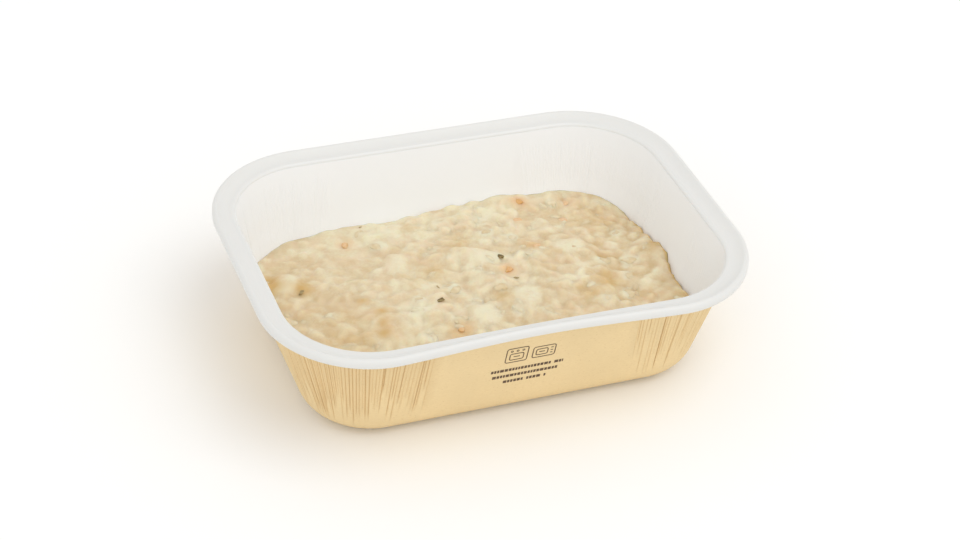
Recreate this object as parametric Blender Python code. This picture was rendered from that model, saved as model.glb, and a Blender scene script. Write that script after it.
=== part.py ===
"""Salt cod risotto in its oven tray.

A pressed paperboard tray, kraft brown outside and lined white inside, carries a moulded white rim.
A creamy heap of rice fills it to a little over a third of its depth, with flakes of salt cod on top.
Metres, +Z up. The origin is the centre of the tray's flat base, +X runs along the long side,
and the printed front wall faces -Y.
"""

import math
import random

import bmesh
import bpy
from mathutils import Vector, noise
from mathutils.bvhtree import BVHTree

# Driving dimensions, in metres
RIM_LENGTH = 0.187
RIM_WIDTH = 0.137
RIM_CORNER_RADIUS = 0.0405
RIM_HEIGHT = 0.0489            # base to the crest of the rim
FLANGE_WIDTH = 0.0087          # outer edge to the opening
FLANGE_SLOPE_DROP = 0.0020     # the opening's edge lies lower than the crest
FLANGE_THICKNESS = 0.0011
LIP_DROP = 0.0031              # how far the outer edge turns down
LIP_THICKNESS = 0.0011
LIP_ROUNDING = 0.0018
SKIRT_DROP = 0.0051            # the rim's inner skirt, below the top
SKIRT_THICKNESS = 0.0007
SKIRT_LEAN = 0.0002            # the skirt's foot stands this much further in than its top
OPENING_ROUNDING = 0.0009      # rounds the flange over into the skirt
FRONT_BOW_RISE = 0.0030        # the long front edge is bent up in its middle
FRONT_BOW_HALF_SPAN = 0.070
FRONT_BOW_CENTRE_X = -0.002
FRONT_BOW_AT_OPENING = 0.2     # share of that rise that reaches the opening's edge

WALL_TOP_LENGTH = 0.1757       # board's outer face, at the height of the rim's top
WALL_TOP_WIDTH = 0.1257
WALL_TOP_RADIUS = 0.0338
WALL_FOOT_LENGTH = 0.1504      # the same face, run down to the base plane
WALL_FOOT_WIDTH = 0.1010
WALL_FOOT_RADIUS = 0.0244
FOOT_FILLET = 0.0087
BOARD_THICKNESS = 0.0008
BOARD_TOP_DROP = 0.0036        # the board ends this far below the rim's top, under the flange
PLEAT_DEPTH = 0.0005
PLEATS_PER_CORNER = 12

GAP = 0.0003                   # between pieces that touch
RICE_EDGE_LEVEL = 0.0180       # height of the rice where it meets the wall
RICE_CROWN_RISE = 0.0032       # how much higher its middle is
RICE_SHOULDER = 0.0010         # the heap's edge is rounded by this much
RICE_TUCK = 0.0006
LUMP_SIZE = 0.013
LUMP_HEIGHT = 0.0020
LUMP_AT_WALL = 0.25            # share of the lumps' height left at the wall

# Humps and hollows of the heap: centre x, centre y, radius, rise
RICE_HUMPS = (
    (-0.069, 0.048, 0.008, -0.0006),
    (-0.055, 0.055, 0.009, -0.0009),
    (-0.038, 0.056, 0.008, 0.0012),
    (-0.027, 0.055, 0.005, 0.0006),
    (-0.018, 0.056, 0.009, -0.0005),
    (0.003, 0.057, 0.012, 0.0010),
    (0.024, 0.058, 0.012, 0.0026),
    (0.036, 0.058, 0.009, 0.0030),
    (0.048, 0.056, 0.006, 0.0008),
    (0.058, 0.055, 0.010, 0.0020),
    (0.073, 0.046, 0.008, 0.0008),
    (0.081, 0.013, 0.009, 0.0018),
    (0.081, 0.001, 0.009, 0.0044),
    (0.079, -0.014, 0.007, -0.0010),
    (0.079, -0.026, 0.009, 0.0013),
    (0.008, 0.020, 0.022, 0.0016),
    (0.040, 0.012, 0.016, 0.0012),
    (-0.030, -0.012, 0.016, 0.0012),
    (-0.045, 0.030, 0.022, -0.0012),
    (-0.068, 0.024, 0.012, 0.0010),
    (0.062, -0.034, 0.018, -0.0012),
    (0.020, -0.030, 0.020, 0.0010),
)

# Flakes of cod: centre x, centre y, length, width, height, turn in degrees
COD_FLAKES = (
    (0.0167, -0.0110, 0.0122, 0.0094, 0.0023, 35),
    (0.0071, 0.0150, 0.0136, 0.0100, 0.0024, -20),
    (-0.0247, 0.0212, 0.0116, 0.0082, 0.0021, 70),
    (0.0440, 0.0140, 0.0128, 0.0090, 0.0023, 10),
    (-0.0021, -0.0190, 0.0124, 0.0088, 0.0022, -55),
    (-0.0680, 0.0225, 0.0134, 0.0088, 0.0026, 62),
)
FLAKE_EDGE = 0.35              # share of a flake's height at its outline
FLAKE_RIDGE = 0.1              # share of its height in the uneven ridges across it
FLAKE_UNDERSIDE = (0.3, 0.65, 0.92)
FLAKE_RINGS = 4
FLAKE_SIDES = 14

# Steps round each corner, along a long side and along a short side
BOARD_STEPS = (2 * PLEATS_PER_CORNER, 1, 1)
RIM_STEPS = (12, 12, 1)
RICE_STEPS = (9, 20, 12)
RICE_RINGS = 11                # from the heap's edge to its middle
FILLET_STEPS = 5
ROUNDING_STEPS = 3


def clear_scene():
    for old in list(bpy.data.objects):
        bpy.data.objects.remove(old)


def mix(low, high, share):
    return low + (high - low) * share


def smooth_step(share):
    share = min(max(share, 0.0), 1.0)
    return share * share * (3.0 - 2.0 * share)


def corner_point(centre, radius, turn):
    """A point on a corner's arc and the way out there; turn is in quarter turns from +X."""
    angle = math.pi / 2 * turn
    outward = Vector((math.cos(angle), math.sin(angle)))
    return Vector(centre) + radius * outward, outward


def rounded_outline(length, width, radius, steps):
    """Points of a rounded rectangle, anticlockwise: place, way out, and quarter with step in a corner."""
    corner_steps, long_steps, short_steps = steps
    across = length / 2 - radius
    deep = width / 2 - radius
    corners = ((across, deep), (-across, deep), (-across, -deep), (across, -deep))
    points = []
    for quarter, centre in enumerate(corners):
        for step in range(corner_steps + 1):
            place, outward = corner_point(centre, radius, quarter + step / corner_steps)
            points.append((place, outward, (quarter, step)))
        start = points[-1][0]
        end, side_outward = corner_point(corners[(quarter + 1) % 4], radius, quarter + 1)
        side_steps = (long_steps, short_steps)[quarter % 2]
        for step in range(1, side_steps):
            points.append((start.lerp(end, step / side_steps), side_outward, None))
    return points


def wall_outline(height, inset, steps):
    """The tapered wall's outline at a height, moved inwards by inset."""
    down = (RIM_HEIGHT - height) / RIM_HEIGHT
    length = mix(WALL_TOP_LENGTH, WALL_FOOT_LENGTH, down) - 2 * inset
    width = mix(WALL_TOP_WIDTH, WALL_FOOT_WIDTH, down) - 2 * inset
    radius = mix(WALL_TOP_RADIUS, WALL_FOOT_RADIUS, down) - inset
    return rounded_outline(length, width, radius, steps)


def add_ring(mesh, points):
    return [mesh.verts.new(point) for point in points]


def bridge(mesh, lower, upper):
    """Faces between two rings of the same count."""
    count = len(lower)
    for i in range(count):
        j = (i + 1) % count
        mesh.faces.new((lower[i], lower[j], upper[j], upper[i]))


def close_top(mesh, ring, peak):
    """A fan of triangles from a ring to a point in its middle."""
    middle = mesh.verts.new(peak)
    for i, vertex in enumerate(ring):
        mesh.faces.new((vertex, ring[(i + 1) % len(ring)], middle))


def finish_object(name, mesh, material):
    """One closed body as an object: triangles, outward faces and smooth shading."""
    bmesh.ops.recalc_face_normals(mesh, faces=mesh.faces)
    bmesh.ops.triangulate(mesh, faces=mesh.faces)
    data = bpy.data.meshes.new(name)
    mesh.to_mesh(data)
    mesh.free()
    data.materials.append(material)
    data.shade_smooth()
    data.set_sharp_from_angle(angle=math.radians(40))
    piece = bpy.data.objects.new(name, data)
    bpy.context.scene.collection.objects.link(piece)
    return piece


def principled(name, colour, roughness):
    material = bpy.data.materials.new(name)
    material.use_nodes = True
    shader = material.node_tree.nodes["Principled BSDF"]
    shader.inputs["Base Color"].default_value = (*colour, 1.0)
    shader.inputs["Roughness"].default_value = roughness
    shader.inputs["Metallic"].default_value = 0.0
    return material


def pleat_depths():
    """How far each pleat of the four corners stands out, no two alike."""
    rolls = random.Random(11)
    return [[rolls.uniform(0.45, 1.0) * PLEAT_DEPTH for _ in range(PLEATS_PER_CORNER)] for _ in range(4)]


def board_ring(height, inset, pleated, depths):
    """One ring of the board. Every second point of a corner stands out as a pleat's crest."""
    points = []
    for place, outward, corner in wall_outline(height, inset, BOARD_STEPS):
        quarter, step = corner
        crest = depths[quarter][step // 2] * pleated if step % 2 == 1 else 0.0
        moved = place + outward * crest
        points.append((moved.x, moved.y, height))
    return points


def fillet_levels(bottom, radius):
    """Height and extra inset down a foot's quarter round, from the wall to the flat."""
    levels = []
    for step in range(FILLET_STEPS + 1):
        angle = math.pi / 2 * step / FILLET_STEPS
        levels.append((bottom + radius * (1 - math.sin(angle)), radius * (1 - math.cos(angle))))
    return levels


def make_board(material):
    """The pressed board: pleated corners, a tapered wall, a rounded foot and a flat base."""
    depths = pleat_depths()
    board_top = RIM_HEIGHT - BOARD_TOP_DROP
    mesh = bmesh.new()

    def skin(inset, bottom, radius):
        rings = []
        for share in (0.0, 0.5):
            height = mix(board_top, bottom + radius, share)
            rings.append(add_ring(mesh, board_ring(height, inset, 1.0, depths)))
        for index, (height, tuck) in enumerate(fillet_levels(bottom, radius)):
            pleated = 1.0 - smooth_step(index / (FILLET_STEPS - 1))
            rings.append(add_ring(mesh, board_ring(height, inset + tuck, pleated, depths)))
        return rings

    outer = skin(0.0, 0.0, FOOT_FILLET)
    inner = skin(BOARD_THICKNESS, BOARD_THICKNESS, FOOT_FILLET - BOARD_THICKNESS)
    for rings in (outer, inner):
        for upper, lower in zip(rings, rings[1:]):
            bridge(mesh, lower, upper)
    bridge(mesh, outer[0], inner[0])
    mesh.faces.new(outer[-1])
    mesh.faces.new(inner[-1])
    return finish_object("tray_board", mesh, material)


def rim_profile():
    """The rim's closed section: distance in from the outer edge, and height above the rim's top."""
    profile = [(0.0, -LIP_DROP)]
    for step in range(ROUNDING_STEPS + 1):
        angle = math.pi / 2 * step / ROUNDING_STEPS
        profile.append((LIP_ROUNDING * (1 - math.cos(angle)), LIP_ROUNDING * (math.sin(angle) - 1)))
    opening = FLANGE_WIDTH
    foot = opening + SKIRT_LEAN
    under = -FLANGE_SLOPE_DROP - FLANGE_THICKNESS
    soften = OPENING_ROUNDING / 3
    profile += [
        (opening - OPENING_ROUNDING, -FLANGE_SLOPE_DROP + soften),
        (opening, -FLANGE_SLOPE_DROP - 2 * soften),
        (foot, -SKIRT_DROP),
        (foot - SKIRT_THICKNESS, -SKIRT_DROP),
        (opening - SKIRT_THICKNESS, under - soften),
        (opening - SKIRT_THICKNESS - 2 * soften, under + soften),
        (LIP_ROUNDING, -FLANGE_THICKNESS),
        (LIP_THICKNESS, -LIP_ROUNDING),
        (LIP_THICKNESS, -LIP_DROP),
    ]
    return profile


def front_bow(x, y, inward):
    """How far the bent front edge is raised at a point, less towards the opening."""
    if y > 0:
        return 0.0
    off_centre = min(abs(x - FRONT_BOW_CENTRE_X) / FRONT_BOW_HALF_SPAN, 1.0)
    hump = 0.5 + 0.5 * math.cos(math.pi * off_centre)
    share = mix(1.0, FRONT_BOW_AT_OPENING, smooth_step(inward / FLANGE_WIDTH))
    return FRONT_BOW_RISE * hump * share


def make_rim(material):
    """The moulded rim: a turned-down lip, a sloping flange and a skirt inside the board's edge."""
    mesh = bmesh.new()
    rings = []
    for inward, height in rim_profile():
        sizes = (RIM_LENGTH - 2 * inward, RIM_WIDTH - 2 * inward, RIM_CORNER_RADIUS - inward)
        points = []
        for place, _, _ in rounded_outline(*sizes, RIM_STEPS):
            raised = RIM_HEIGHT + height + front_bow(place.x, place.y, inward)
            points.append((place.x, place.y, raised))
        rings.append(add_ring(mesh, points))
    for outer, inner in zip(rings, rings[1:] + rings[:1]):
        bridge(mesh, outer, inner)
    return finish_object("tray_rim", mesh, material)


def rice_height(x, y):
    """Height of the heap's top at a point, with its crown, its humps and its lumps."""
    spread = (x / (WALL_TOP_LENGTH / 2)) ** 2 + (y / (WALL_TOP_WIDTH / 2)) ** 2
    inner = 1 - smooth_step(spread)
    height = RICE_EDGE_LEVEL + RICE_CROWN_RISE * inner
    for hump_x, hump_y, radius, rise in RICE_HUMPS:
        away = ((x - hump_x) ** 2 + (y - hump_y) ** 2) / radius ** 2
        height += rise * math.exp(-away)
    lump = noise.noise(Vector((x, y, 0.0)) / LUMP_SIZE)
    return height + LUMP_HEIGHT * mix(LUMP_AT_WALL, 1.0, inner) * lump


def rice_edge():
    """The heap's edge: two rings that follow its level round the wall, the upper one tucked in."""
    inset = BOARD_THICKNESS + GAP
    shoulder = []
    edge = []
    for index, (near_wall, _, _) in enumerate(wall_outline(RICE_EDGE_LEVEL, inset, RICE_STEPS)):
        level = rice_height(near_wall.x, near_wall.y)
        low = level - RICE_SHOULDER
        place, outward, _ = wall_outline(low, inset, RICE_STEPS)[index]
        tucked = place - outward * RICE_TUCK
        shoulder.append((place.x, place.y, low))
        edge.append((tucked.x, tucked.y, level))
    return shoulder, edge


def make_risotto(material):
    """The heap of rice: it fills the foot and the lower wall, and its top is uneven."""
    mesh = bmesh.new()
    inset = BOARD_THICKNESS + GAP
    rings = []
    for height, tuck in reversed(fillet_levels(inset, FOOT_FILLET - inset)):
        outline = wall_outline(height, inset + tuck, RICE_STEPS)
        rings.append(add_ring(mesh, [(place.x, place.y, height) for place, _, _ in outline]))
    shoulder, edge = rice_edge()
    rings.append(add_ring(mesh, shoulder))
    rings.append(add_ring(mesh, edge))
    for step in range(1, RICE_RINGS):
        share = 1 - step / RICE_RINGS
        ring = [(x * share, y * share, rice_height(x * share, y * share)) for x, y, _ in edge]
        rings.append(add_ring(mesh, ring))
    for lower, upper in zip(rings, rings[1:]):
        bridge(mesh, lower, upper)
    mesh.faces.new(rings[0])
    close_top(mesh, rings[-1], (0.0, 0.0, rice_height(0.0, 0.0)))
    return finish_object("risotto", mesh, material)


def top_of(piece):
    """A function that gives the height of a piece's top at a point."""
    tree = BVHTree.FromObject(piece, bpy.context.evaluated_depsgraph_get())
    sky = 2 * RIM_HEIGHT

    def height(x, y):
        return tree.ray_cast(Vector((x, y, sky)), Vector((0.0, 0.0, -1.0)))[0].z

    return height


def make_cod_flake(number, place, ground, material):
    """One flake of cod: an uneven domed slice whose underside follows the rice."""
    centre_x, centre_y, length, width, height, turn = place
    rolls = random.Random(number)
    wobble = [rolls.uniform(0.86, 1.1) for _ in range(FLAKE_SIDES)]
    cosine = math.cos(math.radians(turn))
    sine = math.sin(math.radians(turn))
    clearance = 1.2 * GAP
    mesh = bmesh.new()

    def layer(share, dome):
        ring = []
        for step in range(FLAKE_SIDES):
            angle = 2 * math.pi * step / FLAKE_SIDES
            along = length / 2 * share * wobble[step] * math.cos(angle)
            aside = width / 2 * share * wobble[step] * math.sin(angle)
            x = centre_x + along * cosine - aside * sine
            y = centre_y + along * sine + aside * cosine
            ridge = FLAKE_RIDGE * math.sin(3 * math.pi * share + angle / 2) if dome else 0.0
            ring.append((x, y, ground(x, y) + clearance + height * (dome + ridge)))
        return add_ring(mesh, ring)

    rings = [layer(share, 0.0) for share in FLAKE_UNDERSIDE]
    for step in range(FLAKE_RINGS):
        share = 1 - step / FLAKE_RINGS
        rings.append(layer(share, mix(FLAKE_EDGE, 1.0, math.sqrt(1 - share ** 2))))
    for lower, upper in zip(rings, rings[1:]):
        bridge(mesh, lower, upper)
    mesh.faces.new(rings[0])
    close_top(mesh, rings[-1], (centre_x, centre_y, ground(centre_x, centre_y) + clearance + height))
    return finish_object(f"cod_flake_{number}", mesh, material)


def main():
    clear_scene()
    kraft = principled("kraft_board", (0.80, 0.60, 0.34), 0.85)
    plastic = principled("white_rim", (0.87, 0.87, 0.84), 0.4)
    rice = principled("creamy_rice", (0.80, 0.68, 0.46), 0.35)
    cod = principled("cod", (0.86, 0.80, 0.62), 0.4)
    make_board(kraft)
    make_rim(plastic)
    risotto = make_risotto(rice)
    bpy.context.view_layer.update()
    ground = top_of(risotto)
    for number, place in enumerate(COD_FLAKES, start=1):
        make_cod_flake(number, place, ground, cod)


main()
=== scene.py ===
"""Salt cod risotto in its oven tray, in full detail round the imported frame.

Everything is in metres, in the frame's own axes: the origin is the centre of the tray's flat base,
+X runs along its long side, the printed front wall faces -Y and +Z is up.
"""

import math
import random
from types import SimpleNamespace

import bmesh
import bpy
import numpy as np
from bpy.props import FloatProperty, FloatVectorProperty, IntProperty, PointerProperty
from mathutils import Matrix, Vector, noise
from mathutils.bvhtree import BVHTree


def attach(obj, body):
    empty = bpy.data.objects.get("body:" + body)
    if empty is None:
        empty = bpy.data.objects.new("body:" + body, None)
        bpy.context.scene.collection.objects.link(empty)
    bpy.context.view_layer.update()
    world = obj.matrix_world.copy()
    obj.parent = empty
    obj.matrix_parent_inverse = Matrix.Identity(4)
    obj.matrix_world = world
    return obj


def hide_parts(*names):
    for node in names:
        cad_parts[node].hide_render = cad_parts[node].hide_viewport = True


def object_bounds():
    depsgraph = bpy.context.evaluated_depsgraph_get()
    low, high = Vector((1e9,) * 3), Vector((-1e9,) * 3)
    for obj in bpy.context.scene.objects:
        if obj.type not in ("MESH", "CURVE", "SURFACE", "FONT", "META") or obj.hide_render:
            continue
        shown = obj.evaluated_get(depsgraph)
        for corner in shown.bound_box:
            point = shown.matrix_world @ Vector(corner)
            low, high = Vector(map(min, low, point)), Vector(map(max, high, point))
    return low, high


bl_info = {
    "name": "Salt cod risotto in its oven tray",
    "version": (1, 0, 0),
    "blender": (4, 5, 0),
    "location": "3D View > Sidebar > Risotto",
    "description": "Makes a pressed board tray with a moulded rim, filled with salt cod risotto",
    "category": "Object",
}

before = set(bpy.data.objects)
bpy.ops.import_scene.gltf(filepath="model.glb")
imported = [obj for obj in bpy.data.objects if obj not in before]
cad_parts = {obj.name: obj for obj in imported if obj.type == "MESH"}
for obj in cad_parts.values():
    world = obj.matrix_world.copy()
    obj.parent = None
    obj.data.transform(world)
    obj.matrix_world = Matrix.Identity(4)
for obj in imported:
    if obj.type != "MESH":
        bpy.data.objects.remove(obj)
CAD_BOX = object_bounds()
CAD_SIZE = CAD_BOX[1] - CAD_BOX[0]
MM = 0.001
QUARTER_TURN = math.pi / 2


def in_metres(lengths, rows):
    """Rows of a table, with the lengths in their first columns turned from millimetres to metres."""
    return [tuple(round(part * MM, 7) for part in row[:lengths]) + row[lengths:] for row in rows]


# The sides that the four corners are on, anticlockwise
CORNERS = ((1, 1), (-1, 1), (-1, -1), (1, -1))

# The strong folds of the two front corners, along from the corner's middle:
# place at the rim's crest, place at the base, lowest height, strength
MAIN_FOLDS = {
    2: in_metres(3, (
        (-41, -20, 11, 0.9), (-37.5, -17.8, 8, 1), (-34, -16, 6, 0.9), (-30.5, -14.5, 6, 1),
        (-27.5, -12.8, 9, 0.8), (-24.6, -11.3, 5, 1), (-22, -9.8, 8, 0.9), (-18.2, -7.6, 9, 0.8),
        (-14.3, -5.6, 5, 1), (-10.8, -4.4, 9, 0.8), (-7, -2.8, 6, 0.8), (-3.8, -1.6, 12, 0.6),
        (-0.3, -0.2, 5, 0.65), (8.1, 4.2, 9, 0.6), (12.5, 7.2, 10, 0.6), (15.8, 10.2, 9, 0.7),
        (23.6, 14.4, 24, 0.7), (31.3, 19.5, 16, 0.8), (38.3, 26, 10, 0.8), (40.2, 28.6, 21, 0.7),
    )),
    3: in_metres(3, (
        (-41.2, -26.6, 25, 0.6), (-36.8, -23.6, 29, 0.6), (-30.8, -18.4, 8, 1),
        (-23.9, -14.4, 8, 1), (-19.9, -11.6, 22, 0.7), (-14, -8.4, 10, 0.8), (-10.5, -6.2, 7, 1),
        (-7, -4.2, 9, 0.9), (-3, -1.6, 8, 0.8), (9, 5.2, 10, 0.8), (22, 13, 12, 0.7),
    )),
}

# About where the strong folds of the back corners are, in millimetres from the corner's middle
BACK_FOLDS = (-36, -27, -20, -11, -2, 8, 15, 24, 33, 39)

# For each corner, how dark the board is painted between its folds, as painted shade over the corner, and how
# strong the fine folds are
PLEAT_SHADES = (0.07, 0.07, 0.17, 0.03)
FINE_FOLD_STRENGTHS = (0.9, 0.9, 1.0, 0.7)

# Humps and hollows of the heap: centre x, centre y, radius, rise
RICE_HUMPS = in_metres(4, (
    (-69, 48, 8, -1.8), (-55, 55, 9, -0.9), (-38, 56, 8, 1.2), (-27, 55, 5, 0.6),
    (-18, 56, 9, -0.5), (3, 57, 12, 1), (24, 58, 12, 2.6), (36, 58, 9, 3), (48, 56, 6, 0.8),
    (58, 55, 10, 2), (73, 46, 8, 0.8), (81, 13, 9, 1.8), (81, 1, 9, 4.4), (79, -14, 7, -1),
    (79, -26, 9, 1.3), (8, 20, 22, 1.6), (40, 12, 16, 1.2), (-30, -12, 16, 1.2),
    (-45, 30, 22, -1.2), (-68, 24, 12, 1), (62, -34, 18, -1.2), (20, -30, 20, 1),
))

# Flakes of cod, one for each cod_flake node: centre x, centre y, length, width, height, turn in degrees
COD_FLAKES = in_metres(5, (
    (16.7, -11, 12.2, 9.4, 2.3, 35), (7.1, 15, 13.6, 10, 2.4, -20), (-24.7, 21.2, 11.6, 8.2, 2.1, 70),
    (44, 14, 12.8, 9, 2.3, 10), (-2.1, -19, 12.4, 8.8, 2.2, -55), (-68, 22.5, 13.4, 8.8, 2.6, 62),
))

# Where the sauce lies smooth over the grains: centre x, centre y, radius, how much
CREAMY_PLACES = in_metres(3, (
    (-45, 34, 22, 1), (-30, 14, 14, 0.6), (-62, 48, 12, 0.8), (-48, -6, 12, 0.5), (-20, 50, 12, 0.5),
))

# Where the sauce is browner: centre x, centre y, radius, how much
OCHRE_PLACES = in_metres(3, (
    (-68.8, 33.2, 3.6, 0.3), (-74, 26.8, 4.6, 0.8), (-72.2, 21.6, 4, 0.75), (-62.6, 18.4, 4.2, 1),
    (-70, 3, 8, 0.15), (-56, -18, 11, 0.4), (-44.4, 2.9, 2.6, 0.6), (-39.3, -6.2, 2.6, 0.7),
    (-41, -12, 2.5, 0.7), (-42.4, -17.8, 2.8, 0.6), (-53.2, -4.2, 4.5, 0.25),
    (-14.3, -23.9, 4.2, 0.7), (-12.3, 11.3, 5.5, 0.5), (3.8, 27.3, 5, 0.4), (8.4, -9.5, 4.5, 0.5),
    (31.6, 16.5, 5, 0.4), (29.1, -23.7, 6, 0.1), (51.7, -9.2, 4.8, 0.7), (41.5, -15.2, 6, 0.5),
    (73.5, 5.2, 4, 0.4), (78.9, 7.6, 3.2, 1), (76.1, -25.1, 5, 0.7), (64, -20, 6, 0.2),
    (-22.3, 9.2, 5, 0.22), (-35, -22.9, 7, 0.24), (-22.9, -18.1, 5, 0.15), (64, 34, 11, 0.3),
    (20, -36, 12, 0.15),
))

# Bits of carrot: x, y, length, turn in degrees, how deep its orange is
CARROT_BITS = in_metres(3, (
    (36.7, 49.7, 3.4, 10, 1), (15.4, 6.1, 3.2, 35, 0.8), (-38.5, 42, 3, 75, 0.5),
    (31.8, 37.5, 3.6, 5, 0.35), (55.5, 45.6, 3, 60, 0.2), (50.1, 34.4, 3.6, 80, 0.2),
    (-14.3, -23.9, 2.6, 20, 0.5), (31.6, 16.5, 3.2, 30, 0.3), (-21, -46, 2.6, 50, 0.8),
    (46, -46, 2.6, 15, 0.6),
))

# Flecks of herb: x, y, length, width, turn in degrees, how much sauce lies over it
HERB_FLECKS = in_metres(4, (
    (14.7, 13.7, 5, 2.2, -51, 0.1), (17.2, 0.1, 4, 1, -18, 0.7), (-17, -6.8, 4.2, 1.8, 25, 0.25),
    (-63.4, 16.6, 5.6, 1.7, 49, 0.5), (-28.9, 52, 1.3, 0.8, 20, 0.7), (-14.6, 1.4, 3, 0.8, -70, 0.95),
    (-50, -44, 1.4, 0.7, 10, 0.2), (5, -47, 2.6, 1, 30, 0.1), (50, -47, 2, 0.9, -40, 0.3),
    (-33, -48, 2.2, 0.9, 80, 0.2),
))

# The camera stands where the photograph was taken from, seen from a point in the rim's middle
CAMERA_AZIMUTH = -22.935
CAMERA_ELEVATION = 35.817
CAMERA_ROLL = 4.112
CAMERA_PLACE = (0.00013, -0.01591, 0.83862)     # aside, up and back, along the camera's own axes
CAMERA_AIM_HEIGHT = 0.0480
CAMERA_LENS = 84.546                            # millimetres, on the default 36 mm sensor

# Steps along the long and the short sides
RIM_SIDE_STEPS = (60, 6)
BOARD_SIDE_STEPS = (20, 30)

# The folds of a corner
FOLD_CLEARANCE = 0.55 * MM          # least distance of a fine fold from a strong one
FOLD_HALF_WIDTHS = (0.22 * MM, 0.36 * MM)   # of the weakest and the strongest fold, at their tops
FOLD_FOOT_HALF_WIDTH = 0.20 * MM
FOLD_FADE = 6 * MM                  # height over which a fold begins to show
CREST_SHARE = 0.3                   # rise between two folds, as a share of their depth
FOOT_TURNS = 9                      # rings round the rounded foot
BOW_FROM, BOW_OVER = 36 * MM, 8 * MM        # the board follows the bent rim from this height, over that
INK_THICKNESS = 0.03 * MM

# The heap is worked out on a fine grid that is a little larger than the risotto
HALF_SHEET = (85 * MM, 60 * MM)     # half the size of the sheet that the sauce is cut from
GRID_STEP = 0.3 * MM
GRID_X = np.arange(-0.0864, 0.0864, GRID_STEP)
GRID_Y = np.arange(-0.0612, 0.0612, GRID_STEP)

GRAIN_TRIES = 26000                 # places tried for the grains of the top layer, which fill it
CLUMP_TRIES = 6000                  # places tried for the clumps
CLUMP_SPACING = 0.72                # least distance between clumps, as a share of their size
LOOSE_FILM = -0.12 * MM             # a grain under less sauce than this is made as a loose one
RIGHT_PULL = 0.4 * MM               # how far the risotto stands off the right wall
COD_SWELL = 1.24                    # width of the sauce that stands up round a flake of cod, in flakes
COD_SWELL_RISE = 0.62               # its height, as a share of the flake's
COD_UNDERSIDE = 1.2 * MM            # a flake's underside below its outline
SHRED_AREA = ((-0.035, 0.078), (-0.053, 0.053))     # from where to where along the tray, and across it
# The least and the most length, width, height and turn in degrees of a shred
SHRED_SIZES = ((0.0045, 0.0085), (0.0035, 0.0060), (0.0016, 0.0024), (0, 360))

NOISE_ENDS = (0.3, 0.7)             # nearly all values of a noise texture lie between these
NOISE_MIDDLE = (0.35, 0.65)         # and most of them between these
FOOD_GLOW = (1.0, 0.75, 0.5)        # how far red, green and blue light go into food
LIGHT_AIM = Vector((0.0, 0.0, 0.03))


# Settings

def metres(name, description, default):
    """A length."""
    return FloatProperty(name=name, description=description, default=default, unit="LENGTH", precision=5)


def part_of_one(name, description, default):
    """A share from 0 to 1."""
    return FloatProperty(name=name, description=description, default=default, subtype="FACTOR", min=0, max=1)


def colour(name, description, hex_colour):
    """A colour, from its sRGB hex value."""
    return FloatVectorProperty(
        name=name, description=description, default=linear(hex_colour), size=4, subtype="COLOR", min=0, max=1)


def linear(hex_colour):
    """Linear RGBA of an sRGB hex colour."""
    parts = [int(hex_colour[i:i + 2], 16) / 255 for i in (1, 3, 5)]
    return tuple(p / 12.92 if p <= 0.04045 else ((p + 0.055) / 1.055) ** 2.4 for p in parts) + (1.0,)


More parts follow.
